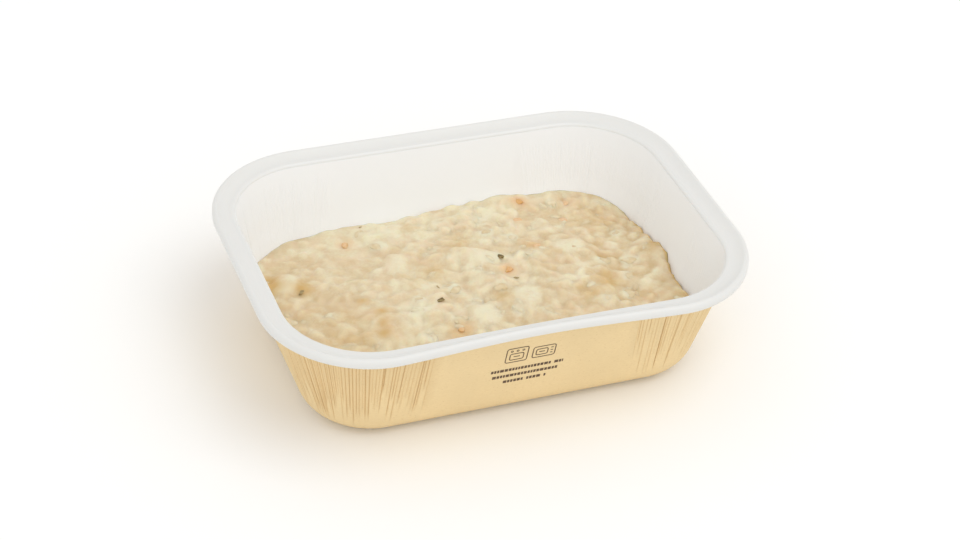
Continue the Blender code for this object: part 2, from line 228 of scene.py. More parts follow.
class TraySettings(bpy.types.PropertyGroup):
    """Sizes and colours of the tray"""
    rim_length: metres("Rim length", "Outer length of the rim", CAD_SIZE.x)
    rim_width: metres("Rim width", "Outer width of the rim", CAD_SIZE.y)
    rim_corner_radius: metres("Rim corner", "Radius of the rim's corners", 0.0405)
    rim_height: metres("Height", "From the base to the crest of the rim", 0.0489)
    flange_width: metres("Flange width", "From the rim's outer edge to the opening", 0.0087)
    flange_slope_drop: metres("Flange slope", "How much lower the opening's edge lies", 0.0020)
    flange_valley: metres("Flange valley", "Depth of the soft valley along the flange", 0.00025)
    flange_thickness: metres("Flange thickness", "Wall of the moulded flange", 0.0011)
    lip_drop: metres("Lip drop", "How far the outer edge turns down", 0.0031)
    lip_thickness: metres("Lip thickness", "Wall of the turned-down lip", 0.0011)
    lip_rounding: metres("Lip rounding", "Radius over the outer edge", 0.0018)
    skirt_drop: metres("Skirt drop", "Foot of the inner skirt below the rim's crest", 0.0051)
    skirt_thickness: metres("Skirt thickness", "Wall of the inner skirt", 0.0007)
    skirt_lean: metres("Skirt lean", "How far the skirt's foot stands in", 0.00005)
    opening_rounding: metres("Opening rounding", "Radius over into the skirt", 0.0013)
    bow_rise: metres("Front bow", "Rise of the bent long front edge", 0.0027)
    bow_half_span: metres("Bow half span", "Half the length of the bend", 0.070)
    bow_centre: metres("Bow centre", "Middle of the bend along the front", -0.002)
    bow_at_opening: part_of_one("Bow at opening", "Share of the rise at the opening's edge", 0.2)
    wall_top_length: metres("Wall top length", "Board's outer face at the rim's crest", 0.1757)
    wall_top_width: metres("Wall top width", "Board's outer face at the rim's crest", 0.1257)
    wall_top_radius: metres("Wall top corner", "Corner radius at the rim's crest", 0.0338)
    wall_foot_length: metres("Wall foot length", "Board's outer face run down to the base", 0.1504)
    wall_foot_width: metres("Wall foot width", "Board's outer face run down to the base", 0.1010)
    wall_foot_radius: metres("Wall foot corner", "Corner radius at the base", 0.0244)
    foot_fillet: metres("Foot rounding", "Radius from the wall to the base", 0.0087)
    board_thickness: metres("Board thickness", "Board and lining together", 0.0008)
    lining_thickness: metres("Lining thickness", "White layer inside", 0.0003)
    drawn_in_from: metres("Lining drawn in", "Height from which the lining leans in to the opening", 0.0240)
    board_top_drop: metres("Board top", "Board's upper edge below the rim's crest", 0.0036)
    pleat_pitch: metres("Pleat pitch", "Between the folds of a corner's middle, at its top", 0.0010)
    pleat_depth: metres("Pleat depth", "Depth of a strong fold", 0.00045)
    pleat_reach: metres("Pleat reach", "From a corner's middle to its last fold, at its top", 0.0430)
    pleat_narrowing: part_of_one("Pleat narrowing", "Share of that reach left at the foot", 0.60)
    kraft: colour("Kraft", "Kraft outside of the board", "#EDD4A4")
    # Dark kraft of the pulp's flecks, also painted along the folds and over the corners as shade
    kraft_dark_and_fold_shade: colour("Kraft in folds", "Kraft where it is folded in", "#BE955A")
    lining: colour("Lining", "White inside of the board", "#F8FAFC")
    rim: colour("Rim", "Moulded rim", "#E2E1DD")
    ink: colour("Ink", "Printed marks", "#5A4332")


class RisottoSettings(bpy.types.PropertyGroup):
    """Sizes and colours of the risotto"""
    gap: metres("Gap", "Between the risotto and the wall", 0.00006)
    edge_level: metres("Edge level", "Height of the heap at the wall", 0.0180)
    crown_rise: metres("Crown", "How much higher the middle is", 0.0032)
    lump_size: metres("Lump size", "Width of a lump of the heap", 0.013)
    lump_height: metres("Lump height", "Height of a lump of the heap", 0.0020)
    lump_at_wall: part_of_one("Lumps at wall", "Share of the lumps left at the wall", 0.25)
    clump_size: metres("Clump size", "Width of a small clump of rice and sauce", 0.0066)
    clump_height: metres("Clump height", "How far a small clump stands out", 0.0009)
    sauce_drop: metres("Sauce level", "Sauce between the grains, below the heap's level", 0.0006)
    sauce_pitch: metres("Sauce mesh", "Size of a face of the sauce's surface", 0.0005)
    grain_length: metres("Grain length", "Length of a cooked grain of rice", 0.0064)
    grain_width: metres("Grain width", "Width of a cooked grain of rice", 0.0039)
    grain_spacing: metres("Grain spacing", "Least distance between the middles of grains", 0.0034)
    shreds: IntProperty(name="Cod shreds", description="Number of loose shreds of cod", default=24)
    sauce_pale: colour("Sauce, pale", "Sauce over the swollen rice", "#E6DDBF")
    sauce_tan: colour("Sauce, tan", "Sauce that holds more stock", "#D6C09A")
    sauce_blush: colour("Sauce, blush", "Sauce tinged by the carrot", "#E1C6A4")
    # Painted shade in the sauce's hollows
    sauce_hollow_shade: colour("Sauce, deep", "Sauce in the hollows", "#C9AC80")
    sauce_ochre: colour("Sauce, ochre", "Browner sauce along the edges", "#CCA45C")
    sauce_orange: colour("Sauce, orange", "Sauce round a bit of carrot", "#E5BC8E")
    cod: colour("Cod", "Flaked salt cod", "#EAE0C5")
    cod_dark: colour("Cod, between flakes", "Between the flakes of cod", "#D8C49C")
    carrot: colour("Carrot", "Carrot", "#D6A566")
    carrot_pale: colour("Carrot, under sauce", "Carrot under a film of sauce", "#E6C6A0")
    herb: colour("Herb", "Chopped parsley", "#6E5A2A")
    herb_pale: colour("Herb, under sauce", "Parsley under a film of sauce", "#BCA678")


class StageSettings(bpy.types.PropertyGroup):
    """The floor and the light"""
    floor_size: metres("Floor", "Side of the floor", 4.0)
    floor: colour("Floor colour", "Pale studio floor", "#FBFBFA")
    sky_strength: FloatProperty(name="Sky", description="Brightness of the surroundings", default=0.84)
    key_power: FloatProperty(
        name="Key light", description="Power of the large soft light", default=28.0, unit="POWER")
    fill_power: FloatProperty(
        name="Fill light", description="Power of the light from the front", default=9.0, unit="POWER")


# Small tools

def mix(low, high, share):
    """A value between two others."""
    return low + (high - low) * share


def smooth_step(share):
    """0 below 0, 1 above 1, and a soft rise between them."""
    share = np.clip(share, 0.0, 1.0)
    return share * share * (3.0 - 2.0 * share)


def soft_max(low, high, reach):
    """The higher of two surfaces, joined by a soft hollow."""
    share = np.clip(0.5 + 0.5 * (high - low) / reach, 0, 1)
    return mix(low, high, share) + reach * share * (1 - share)


def hills(x, y, places):
    """Sum of round hills, each given as centre x, centre y, radius and height."""
    total = np.zeros(np.shape(x))
    for centre_x, centre_y, radius, height in places:
        total = total + height * np.exp(-((x - centre_x) ** 2 + (y - centre_y) ** 2) / radius ** 2)
    return total


def amount_at(x, y, places):
    """0 to 1: how much there is at each point of what lies at some places."""
    return np.clip(hills(x, y, places), 0, 1)


def noise_over(x, y, size, layer=0.0):
    """Noise at each point, with lumps of that size. layer picks another pattern."""
    values = [noise.noise(Vector((a, b, layer))) for a, b in zip(np.ravel(x) / size, np.ravel(y) / size)]
    return np.array(values).reshape(np.shape(x))


def is_near(place, others, reach):
    """Whether any of the other places lies nearer than that."""
    return any(math.dist(place, other[:2]) < reach for other in others)


def ring_quads(count, rings, first=0):
    """Quads between rings that follow one another in a list of points."""
    i = np.arange(count)
    j = np.roll(i, -1)
    quads = first + np.stack([i, j, j + count, i + count], axis=1)
    return np.concatenate([quads + ring * count for ring in range(rings - 1)])


def make_piece(name, points, faces, material, sharp_over, values=None, merged_within=0.0):
    """One piece as a mesh with outward faces, riding on the tray's body. Edges over that many degrees are
    sharp, and values become point attributes."""
    data = bpy.data.meshes.new(name)
    data.from_pydata(np.asarray(points).tolist(), [], [list(map(int, face)) for face in faces])
    for label, numbers in (values or {}).items():
        attribute = data.attributes.new(label, "FLOAT", "POINT")
        attribute.data.foreach_set("value", np.asarray(numbers, np.float32))
    mesh = bmesh.new()
    mesh.from_mesh(data)
    if merged_within:
        bmesh.ops.remove_doubles(mesh, verts=mesh.verts, dist=merged_within)
    bmesh.ops.recalc_face_normals(mesh, faces=mesh.faces)
    mesh.to_mesh(data)
    mesh.free()
    data.shade_smooth()
    data.set_sharp_from_angle(angle=math.radians(sharp_over))
    data.materials.append(material)
    piece = bpy.data.objects.new(name, data)
    bpy.context.scene.collection.objects.link(piece)
    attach(piece, "root")
    return piece


def add_node(tree, kind, *values, output=None, **named):
    """Adds a node and returns its first output, or the named one. values go to its sockets in their order.
    A name with a capital is a socket's, and any other is a setting of the node."""
    made = tree.nodes.new("ShaderNode" + kind)
    for name, value in named.items():
        if name[0].islower():
            setattr(made, name, value)
    filled = list(zip((socket for socket in made.inputs if socket.enabled), values))
    filled += [(made.inputs[name.replace("_", " ")], named[name]) for name in named if name[0].isupper()]
    for socket, value in filled:
        if isinstance(value, bpy.types.NodeSocket):
            tree.links.new(value, socket)
        else:
            socket.default_value = value
    return next((socket for socket in made.outputs if socket.enabled and output in (None, socket.name)), None)


def new_material(name):
    """An empty node material, its tree, and the place in the object that its patterns follow."""
    material = bpy.data.materials.new(name)
    material.use_nodes = True
    tree = material.node_tree
    tree.nodes.clear()
    return material, tree, add_node(tree, "TexCoord", output="Object")


def toned(base, red, green, blue):
    """A colour with each of its parts multiplied."""
    return (*(min(own * part, 1.0) for own, part in zip(base, (red, green, blue))), 1.0)


def finish_material(material, base, layers, rough=(), bump=(), **shader):
    """Colours, shine and output of a material. Each layer over the base is a share and a colour, or else a
    pattern, the two values it runs between, the share at each of them and a colour. rough is a pattern with
    the least and the most roughness, and bump is a pattern with its strength and height."""
    tree = material.node_tree
    for *share, over in layers:
        share = add_node(tree, "MapRange", *share) if len(share) > 1 else share[0]
        base = add_node(tree, "Mix", share, base, over, data_type="RGBA")
    if rough:
        pattern, least, most = rough
        shader["Roughness"] = add_node(tree, "MapRange", pattern, *NOISE_ENDS, least, most)
    if bump:
        pattern, strength, height = bump
        shader["Normal"] = add_node(tree, "Bump", Height=pattern, Strength=strength, Distance=height)
    add_node(tree, "OutputMaterial", add_node(tree, "BsdfPrincipled", Base_Color=base, **shader))
    return material


# The tray's shape

def wall_sizes(tray, height):
    """Length, width and corner radius of the board's outer face at a height."""
    down = (tray.rim_height - height) / tray.rim_height
    return (mix(tray.wall_top_length, tray.wall_foot_length, down),
            mix(tray.wall_top_width, tray.wall_foot_width, down),
            mix(tray.wall_top_radius, tray.wall_foot_radius, down))


def rim_sizes(tray, inward):
    """Length, width and corner radius of the rim, that far in from its outer edge."""
    return tray.rim_length - 2 * inward, tray.rim_width - 2 * inward, tray.rim_corner_radius - inward


def inside_distance(x, y, length, width, radius):
    """Distance in from a rounded rectangle, and the way out there."""
    over_x = np.abs(x) - (length / 2 - radius)
    over_y = np.abs(y) - (width / 2 - radius)
    corner = np.hypot(np.maximum(over_x, 0), np.maximum(over_y, 0))
    inside = radius - corner - np.minimum(np.maximum(over_x, over_y), 0)
    in_corner = corner > 1e-9
    along_x = np.where(in_corner, np.maximum(over_x, 0), over_x > over_y) * np.sign(x)
    along_y = np.where(in_corner, np.maximum(over_y, 0), over_x <= over_y) * np.sign(y)
    size = np.maximum(np.hypot(along_x, along_y), 1e-9)
    return inside, along_x / size, along_y / size


def corner_place(quarter, sizes, angle):
    """A point on a corner of a rounded rectangle, and the way out there."""
    length, width, radius = sizes
    side_x, side_y = CORNERS[quarter]
    outward = Vector((math.cos(angle), math.sin(angle)))
    centre = Vector((side_x * (length / 2 - radius), side_y * (width / 2 - radius)))
    return centre + outward * radius, outward


def wall_place(tray, quarter, along, height):
    """A point on the board's outer face and the way out; along is anticlockwise from a corner's middle."""
    sizes = wall_sizes(tray, height)
    half_arc = sizes[2] * math.pi / 4
    bent = min(max(along, -half_arc), half_arc)
    place, outward = corner_place(quarter, sizes, QUARTER_TURN * (quarter + 0.5) + bent / sizes[2])
    return place + Vector((-outward.y, outward.x)) * (along - bent), outward


def with_sides(arcs, steps):
    """Points round the arcs of four corners and the straight sides between them."""
    points = []
    for quarter, arc in enumerate(arcs):
        end, count = arcs[(quarter + 1) % 4][0], steps[quarter % 2]
        points += arc + [arc[-1].lerp(end, step / count) for step in range(1, count)]
    return points


def corner_folds(tray, quarter):
    """The folds of one corner: places at top and foot, the height down to which it shows, and strength."""
    rolls = random.Random(40 + quarter)
    folds = list(MAIN_FOLDS.get(quarter, ()))
    for place in () if folds else BACK_FOLDS:
        top = (place + rolls.uniform(-2, 2)) * MM
        strength, low = rolls.uniform(0.6, 1.0), rolls.uniform(0.006, 0.02)
        folds.append((top, top * tray.pleat_narrowing, low, strength))
    # Fine folds fill what the strong ones leave. Their feet follow their neighbours', and spread at the ends
    edge = tray.pleat_reach + 1 * MM
    foot_edge = edge * tray.pleat_narrowing * 1.15
    tops = [-edge, *(fold[0] for fold in folds), edge]
    feet = [-foot_edge, *(fold[1] for fold in folds), foot_edge]
    for side in (-1, 1):
        along = tray.pleat_pitch / 2
        while along < tray.pleat_reach:
            top = side * along
            if min(abs(top - other) for other in tops) > FOLD_CLEARANCE:
                strength = rolls.uniform(0.3, 0.7) * FINE_FOLD_STRENGTHS[quarter]
                folds.append((top, float(np.interp(top, tops, feet)), rolls.uniform(0.005, 0.020), strength))
            along += tray.pleat_pitch * mix(1.0, 1.6, along / tray.pleat_reach) * rolls.uniform(0.85, 1.2)
    return sorted(folds)


def fold_stations(tray, quarter):
    """Places across one corner, in order: at the top, at the foot, lowest height, and rise off the board."""
    folds = corner_folds(tray, quarter)
    stations = []
    for (top, foot, low, strength), following in zip(folds, [*folds[1:], None]):
        half_width = mix(*FOLD_HALF_WIDTHS, strength ** 2)
        for side, rise in ((-1, 0.0), (0, -strength), (1, 0.0)):
            stations.append((top + side * half_width, foot + side * FOLD_FOOT_HALF_WIDTH, low, rise))
        if following:
            next_top, next_foot, next_low, next_strength = following
            crest = CREST_SHARE * min(strength, next_strength)
            stations.append(((top + next_top) / 2, (foot + next_foot) / 2, max(low, next_low), crest))
    return stations


def lining_top_drop(tray):
    """How far below the rim's crest the lining ends: where the rim has rolled over into the opening."""
    return tray.flange_slope_drop + 0.6 * tray.opening_rounding


def opening_inset(tray, quarter, top, foot, height, thickness):
    """How far in the lining's face lies: on the board, and further up drawn in to the rim's opening."""
    highest = tray.rim_height - lining_top_drop(tray)
    drawn = min(max((height - tray.drawn_in_from) / (highest - tray.drawn_in_from), 0.0), 1.0)
    place, _ = wall_place(tray, quarter, mix(foot, top, highest / tray.rim_height), highest)
    opening = rim_sizes(tray, tray.flange_width + tray.skirt_lean + 0.04 * MM)
    return thickness + drawn * max(-inside_distance(place.x, place.y, *opening)[0] - thickness, 0.0)


def front_bow(tray, x, y, inward):
    """How far the bent front edge is raised at a point, less towards the opening."""
    if y > 0:
        return 0.0
    off_centre = min(abs(x - tray.bow_centre) / tray.bow_half_span, 1.0)
    hump = 0.5 + 0.5 * math.cos(math.pi * off_centre)
    return tray.bow_rise * hump * mix(1.0, tray.bow_at_opening, smooth_step(inward / tray.flange_width))


def board_ring(tray, corners, height, inset, folded, drawn_in=False):
    """One ring of the board's wall, with how dark each point is painted as shade in its folds and over its
    corner; folded is how much of each fold shows on this face.
    """
    share = min(max(height / tray.rim_height, 0.0), 1.0)
    if drawn_in:
        folded *= smooth_step((tray.rim_height - 5 * MM - height) / FOLD_FADE)
    arcs, fold_shades = [], []
    for quarter, stations in enumerate(corners):
        arc = []
        for top, foot, low, rise in stations:
            place, outward = wall_place(tray, quarter, mix(foot, top, share), height)
            shown = folded * smooth_step((height - low) / FOLD_FADE)
            own_inset = opening_inset(tray, quarter, top, foot, height, inset) if drawn_in else inset
            arc.append(place + outward * (rise * shown * tray.pleat_depth - own_inset))
            # Painted shade: darker along each fold, and over the whole corner by its pleat shade
            fold_shades.append(max(-rise, PLEAT_SHADES[quarter]) * shown)
        fold_shades += [0.0] * (BOARD_SIDE_STEPS[quarter % 2] - 1)
        arcs.append(arc)
    near_top = smooth_step((height - BOW_FROM) / BOW_OVER)
    ring = [(x, y, height + near_top * front_bow(tray, x, y, tray.flange_width))
            for x, y in with_sides(arcs, BOARD_SIDE_STEPS)]
    return ring, fold_shades


def board_skin(tray, inset, levels, folded, flat_rings=(), drawn_in=False):
    """Rings of one face of the board, from its top down the wall and the rounded foot to the base."""
    corners = [fold_stations(tray, quarter) for quarter in range(4)]
    radius = tray.foot_fillet - inset
    top = tray.rim_height - (lining_top_drop(tray) if drawn_in else tray.board_top_drop)
    rings = []
    for step in range(levels):
        height = mix(top, inset + radius, (step / levels) ** 1.25)
        rings.append(board_ring(tray, corners, height, inset, folded, drawn_in))
    for step in range(FOOT_TURNS + 1):
        angle = QUARTER_TURN * step / FOOT_TURNS
        shown = folded * (1 - smooth_step((step - 2) / (FOOT_TURNS - 2)))
        rings.append(board_ring(tray, corners, inset + radius * (1 - math.sin(angle)),
                                inset + radius * (1 - math.cos(angle)), shown))
    for tuck, rise in flat_rings:
        ring, fold_shades = board_ring(tray, corners, inset, inset + radius + tuck, 0.0)
        rings.append(([(x, y, z + rise) for x, y, z in ring], fold_shades))
    return rings


def make_board_layer(name, outer, inner, material):
    """A closed layer of the board between two faces, each given as the rings of board_skin."""
    count = len(outer[0][0])
    rings = outer[::-1] + inner
    points = [point for ring, _ in rings for point in ring]
    fold_shades = [tone for _, ring_fold_shades in rings for tone in ring_fold_shades]
    caps = [range(count), range(len(points) - count, len(points))]
    faces = [*ring_quads(count, len(rings)), *caps]
    # The fold attribute carries the painted shade of the folds and corners
    return make_piece(name, points, faces, material, 60, {"fold": fold_shades})


def rim_section(tray):
    """The rim's closed section: distance in from the outer edge, and height from the rim's top."""
    rounding, opening = tray.lip_rounding, tray.flange_width
    small, lip = 0.25 * MM, -tray.lip_drop
    lip_steps, slope_steps, turn_steps = 10, 14, 6
    section = [(small, lip), (0.3 * small, lip + 0.3 * small), (0.0, lip + small)]
    for step in range(lip_steps + 1):
        angle = QUARTER_TURN * step / lip_steps
        section.append((rounding * (1 - math.cos(angle)), rounding * (math.sin(angle) - 1)))
    slope_end = opening - tray.opening_rounding
    low = -tray.flange_slope_drop + tray.opening_rounding / 3
    for step in range(1, slope_steps + 1):
        share = step / slope_steps
        valley = tray.flange_valley * math.sin(math.pi * share) * share
        section.append((mix(rounding, slope_end, share), low * smooth_step(share ** 0.55) - valley))
    turn_top = section[-1][1]
    for step in range(1, turn_steps + 1):
        angle = QUARTER_TURN * step / turn_steps
        section.append((slope_end + tray.opening_rounding * math.sin(angle),
                        turn_top - tray.opening_rounding * (1 - math.cos(angle))))
    foot = opening + tray.skirt_lean
    under = -tray.flange_slope_drop - tray.flange_thickness
    return section + [
        (mix(opening, foot, 0.5), mix(turn_top - tray.opening_rounding, -tray.skirt_drop, 0.5)),
        (foot, -tray.skirt_drop + small),
        (foot - small, -tray.skirt_drop),
        (foot - tray.skirt_thickness, -tray.skirt_drop),
        (opening - tray.skirt_thickness, under - 0.3 * MM),
        (opening - tray.skirt_thickness - 0.6 * MM, under),
        (mix(rounding, opening, 0.4), -tray.flange_thickness - 0.9 * MM),
        (rounding, -tray.flange_thickness),
        (tray.lip_thickness, -rounding),
        (tray.lip_thickness, lip + small),
        (tray.lip_thickness - small, lip),
    ]


def rounded_outline(sizes, corner_steps, side_steps):
    """Points of a rounded rectangle, anticlockwise from the upper end of its right side."""
    return with_sides([[corner_place(quarter, sizes, QUARTER_TURN * (quarter + step / corner_steps))[0]
                        for step in range(corner_steps + 1)] for quarter in range(4)], side_steps)


def front_wall(tray, x, depth, lift):
    """A point just off the front wall: x along it, depth below the rim's top, lift off the board."""
    height = tray.rim_height - depth
    lean = (tray.wall_top_width - tray.wall_foot_width) / 2 / tray.rim_height
    out = Vector((0.0, -1.0, -lean)).normalized()
    return Vector((x, -wall_sizes(tray, height)[1] / 2, height)) + out * lift


def stroke_edges(path, width, closed):
    """Left and right edge of a stroke along a flat path."""
    points = [Vector(point) for point in path]
    count = len(points)
    left, right = [], []
    for i, point in enumerate(points):
        before = points[(i - 1) % count] if closed or i else point
        after = points[(i + 1) % count] if closed or i < count - 1 else point
        way = (after - before).normalized()
        aside = Vector((-way.y, way.x)) * width / 2
        left.append(point + aside)
        right.append(point - aside)
    return left, right


def ink_strokes(tray, strokes):
    """Thin closed strips of ink on the front wall. A stroke is a path, a width and whether it is closed."""
    points, faces = [], []
    for path, width, closed in strokes:
        count, first = len(path), len(points)
        edges = stroke_edges(path, width, closed)
        for lift in (INK_THICKNESS, 2 * INK_THICKNESS):
            points += [front_wall(tray, place.x * MM, place.y * MM, lift) for edge in edges for place in edge]
        low_left, low_right, high_left, high_right = (first + k * count for k in range(4))
        around = (low_left, low_right, high_right, high_left)
        for i in range(count if closed else count - 1):
            j = (i + 1) % count
            faces += [(a + i, a + j, b + j, b + i) for a, b in zip(around, around[1:] + around[:1])]
        if not closed:
            faces += [[edge + i for edge in around] for i in (0, count - 1)]
    return points, faces


def print_strokes():
    """Two plain outlined shapes, and three rows of plain dashes under them: strokes, in millimetres along
    the front wall from its middle and down it from the rim's top."""
    line, dash_height, gap, wide_gap = 0.38, 1.4, 0.32, 1.4
    strokes = []
    for middle, sizes in (((-7.0, 15.1), (8.2, 7.6, 0.9)), ((-7.0, 15.95), (5.2, 3.3, 0.7)),
                          ((3.5, 15.7), (8.6, 5.8, 0.9)), ((2.7, 15.75), (4.4, 3.1, 0.7))):
        outline = rounded_outline(sizes, corner_steps=4, side_steps=(1, 1))
        strokes.append(([Vector(middle) + place for place in outline], line, True))
    eighths = [math.pi * k / 4 for k in range(8)]
    for x in (-9.2, -7.0, -4.8):
        ring = [(x + 0.4 * math.cos(angle), 12.8 + 0.4 * math.sin(angle)) for angle in eighths]
        strokes.append((ring, 0.8 * line, True))
    bars = ((-8.2, -5.8, 15.9), (1.6, 3.8, 15.7), (6.0, 6.9, 14.3), (6.0, 6.9, 15.7), (6.0, 6.9, 17.1))
    strokes += [([(start, depth), (end, depth)], line, False) for start, end, depth in bars]
    rolls = random.Random(8)
    for x, end, depth in ((-15.6, 12.2, 23.1), (-14.7, 11.6, 26.4), (-10.0, 6.8, 29.7)):
        while x < end:
            dash = rolls.uniform(0.7, 1.5)
            strokes.append(([(x, depth), (min(x + dash, end), depth)], dash_height, False))
            x += dash + (wide_gap if rolls.random() < 0.1 else gap)
    return strokes


# The tray's materials

def kraft_material(tray):
    """Kraft paperboard, pressed: matt, with long pale and dark fibres, and painted shade darker in its folds
    and corners.
    """
    material, tree, place = new_material("kraft_paperboard_pressed")
    # Paper fibres are 1 to 3 mm long and 0.03 mm wide, drawn about 0.3 mm wide so that they show. The pulp
    # lies in clouds of some 17 mm, with dark flecks in it about 2 mm apart
    along = add_node(tree, "Mapping", place, Scale=(1.0, 1.0, 3.2))
    fibres = add_node(tree, "TexNoise", along, Scale=900.0, Detail=4.0)
    clouds = add_node(tree, "TexNoise", place, Scale=60.0, Detail=3.0)
    flecks = add_node(tree, "TexVoronoi", along, Scale=420.0, Randomness=1.0)
    # Painted shade: the fold attribute darkens the kraft in the folds and over the corners
    fold = add_node(tree, "Attribute", attribute_name="fold", output="Fac")
    return finish_material(material, tray.kraft, (
        (clouds, *NOISE_MIDDLE, 0.0, 1.0, toned(tray.kraft, 1.05, 1.05, 1.05)),
        (fibres, *NOISE_ENDS, 0.0, 0.5, toned(tray.kraft, 0.93, 0.90, 0.85)),
        (flecks, 0.06, 0.2, 0.35, 0.0, tray.kraft_dark_and_fold_shade),
        (fold, 0.0, 0.9, 0.0, 0.74, tray.kraft_dark_and_fold_shade),
    ), rough=(fibres, 0.62, 0.8), bump=(fibres, 0.35, 0.12 * MM), IOR=1.5, Specular_IOR_Level=0.35)


def lining_material(tray):
    """White film laminated on board: smooth and satin, with the board's grain just showing through, and
    painted shade in its folds.
    """
    material, tree, place = new_material("white_film_laminated_board")
    # The board's surface rolls over about 3 mm under the film, and its tone drifts over some 30 mm
    grain = add_node(tree, "TexNoise", place, Scale=330.0, Detail=3.0)
    clouds = add_node(tree, "TexNoise", place, Scale=30.0, Detail=2.0)
    # Painted shade: the fold attribute darkens the lining in the folds and over the corners
    fold = add_node(tree, "Attribute", attribute_name="fold", output="Fac")
    return finish_material(material, tray.lining, (
        (clouds, toned(tray.lining, 0.985, 0.985, 0.985)),
        (fold, 0.2, 1.0, 0.0, 0.3, toned(tray.lining, 0.84, 0.82, 0.76)),
    ), rough=(clouds, 0.36, 0.46), bump=(grain, 0.12, 0.2 * MM), IOR=1.5, Specular_IOR_Level=0.4)


def rim_material(tray):
    """Polypropylene, moulded: satin white that lets a little light in, painted paler where it rolls over
    inwards as a painted highlight along the opening's edge.
    """
    material, tree, place = new_material("polypropylene_moulded")
    # The mould's fine spark texture, about 0.3 mm, over slow flow marks of some 20 mm
    grain = add_node(tree, "TexNoise", place, Scale=3000.0, Detail=2.0)
    flow = add_node(tree, "TexNoise", place, Scale=50.0, Detail=2.0)
    # Painted highlight: the edge attribute turns the rim towards the lining's white over the roll into the
    # opening
    edge = add_node(tree, "Attribute", attribute_name="edge", output="Fac")
    return finish_material(material, tray.rim, (
        (flow, toned(tray.rim, 0.975, 0.98, 0.985)),
        (edge, tray.lining),
    ), rough=(flow, 0.3, 0.38), bump=(grain, 0.05, 0.1 * MM), IOR=1.49,
        Subsurface_Weight=0.15, Subsurface_Radius=(1.0, 0.9, 0.8), Subsurface_Scale=1 * MM)


def ink_material(tray):
    """Water based ink, printed: matt brown, thinner where the board's fibres stand up."""
    material, tree, place = new_material("water_based_ink_printed")
    # Gaps where the ink missed a fibre, about 0.3 mm
    gaps = add_node(tree, "TexNoise", place, Scale=2600.0, Detail=2.0)
    return finish_material(material, tray.ink, (
        (gaps, 0.55, 0.75, 0.0, 0.12, tray.kraft_dark_and_fold_shade),
    ), rough=(gaps, 0.55, 0.7), IOR=1.5)


# The risotto's shape

def heap_level(risotto, tray, x, y):
    """The heap's own level at each point, as in the frame: crown, humps and lumps."""
    spread = (x / (tray.wall_top_length / 2)) ** 2 + (y / (tray.wall_top_width / 2)) ** 2
    inner = 1 - smooth_step(spread)
    level = risotto.edge_level + risotto.crown_rise * inner + hills(x, y, RICE_HUMPS)
    lumps = noise_over(x, y, risotto.lump_size)
    return level + risotto.lump_height * mix(risotto.lump_at_wall, 1.0, inner) * lumps


def right_side(x, y):
    """1 along the right wall, where the risotto stands off the wall, and 0 elsewhere."""
    return smooth_step((x - 50 * MM) / (22 * MM)) * smooth_step((47 * MM - y) / (20 * MM))


def rice_margin(risotto, tray, x, y, level, pull=RIGHT_PULL, tuck=0.0):
    """Distance in from where the risotto ends, and the way out there. pull is how far it stands off the
    wall on the right, with tufts of 7 and 3 mm, and tuck is how much further in it ends."""
    inside, out_x, out_y = inside_distance(x, y, *wall_sizes(tray, level))
    ragged = 1 + 1.3 * noise_over(x, y, 7 * MM, 5.0) + 0.5 * noise_over(x, y, 3 * MM, 6.0)
    pulled = pull * right_side(x, y) * np.maximum(ragged, 0)
    return inside - tray.board_thickness - risotto.gap - pulled - tuck, out_x, out_y


def out_to_edge(risotto, tray, x, y, level, *pull_and_tuck):
    """Points moved outwards to where the risotto ends."""
    for _ in range(3):
        gap, out_x, out_y = rice_margin(risotto, tray, x, y, level, *pull_and_tuck)
        x, y = x + out_x * gap, y + out_y * gap
    return x, y


def blurred(values, reach):
    """Values of a grid, blurred over that many of its steps both ways."""
    steps = np.arange(-3 * reach, 3 * reach + 1)
    weights = np.exp(-(steps / reach) ** 2)
    padded = np.pad(values, 3 * reach, mode="edge")
    for axis in (0, 1):
        padded = np.apply_along_axis(np.convolve, axis, padded, weights / weights.sum(), "valid")
    return padded


def oval_swell(x, y, place, length, width, heading, blunt=2):
    """1 in the middle of an oval, 0 at its outline and negative outside."""
    along = (x - place[0]) * math.cos(heading) + (y - place[1]) * math.sin(heading)
    aside = (y - place[1]) * math.cos(heading) - (x - place[0]) * math.sin(heading)
    return 1 - np.abs(2 * along / length) ** blunt - (2 * aside / width) ** 2


def window(x, y, length):
    """The grid's cell at a point, and the rows and columns within half a length of it."""
    row, column = int((y - GRID_Y[0]) / GRID_STEP), int((x - GRID_X[0]) / GRID_STEP)
    reach = int(length / 2 / GRID_STEP) + 1
    return (row, column), tuple(slice(max(k - reach, 0), k + reach + 1) for k in (row, column))


def sampled(grid, x, y):
    """Value of one of the heap's grids at points between its own."""
    column = np.clip((x - GRID_X[0]) / GRID_STEP, 0, len(GRID_X) - 1.001)
    row = np.clip((y - GRID_Y[0]) / GRID_STEP, 0, len(GRID_Y) - 1.001)
    c, r = column.astype(int), row.astype(int)
    low = mix(grid[r, c], grid[r, c + 1], column - c)
    high = mix(grid[r + 1, c], grid[r + 1, c + 1], column - c)
    return mix(low, high, row - r)


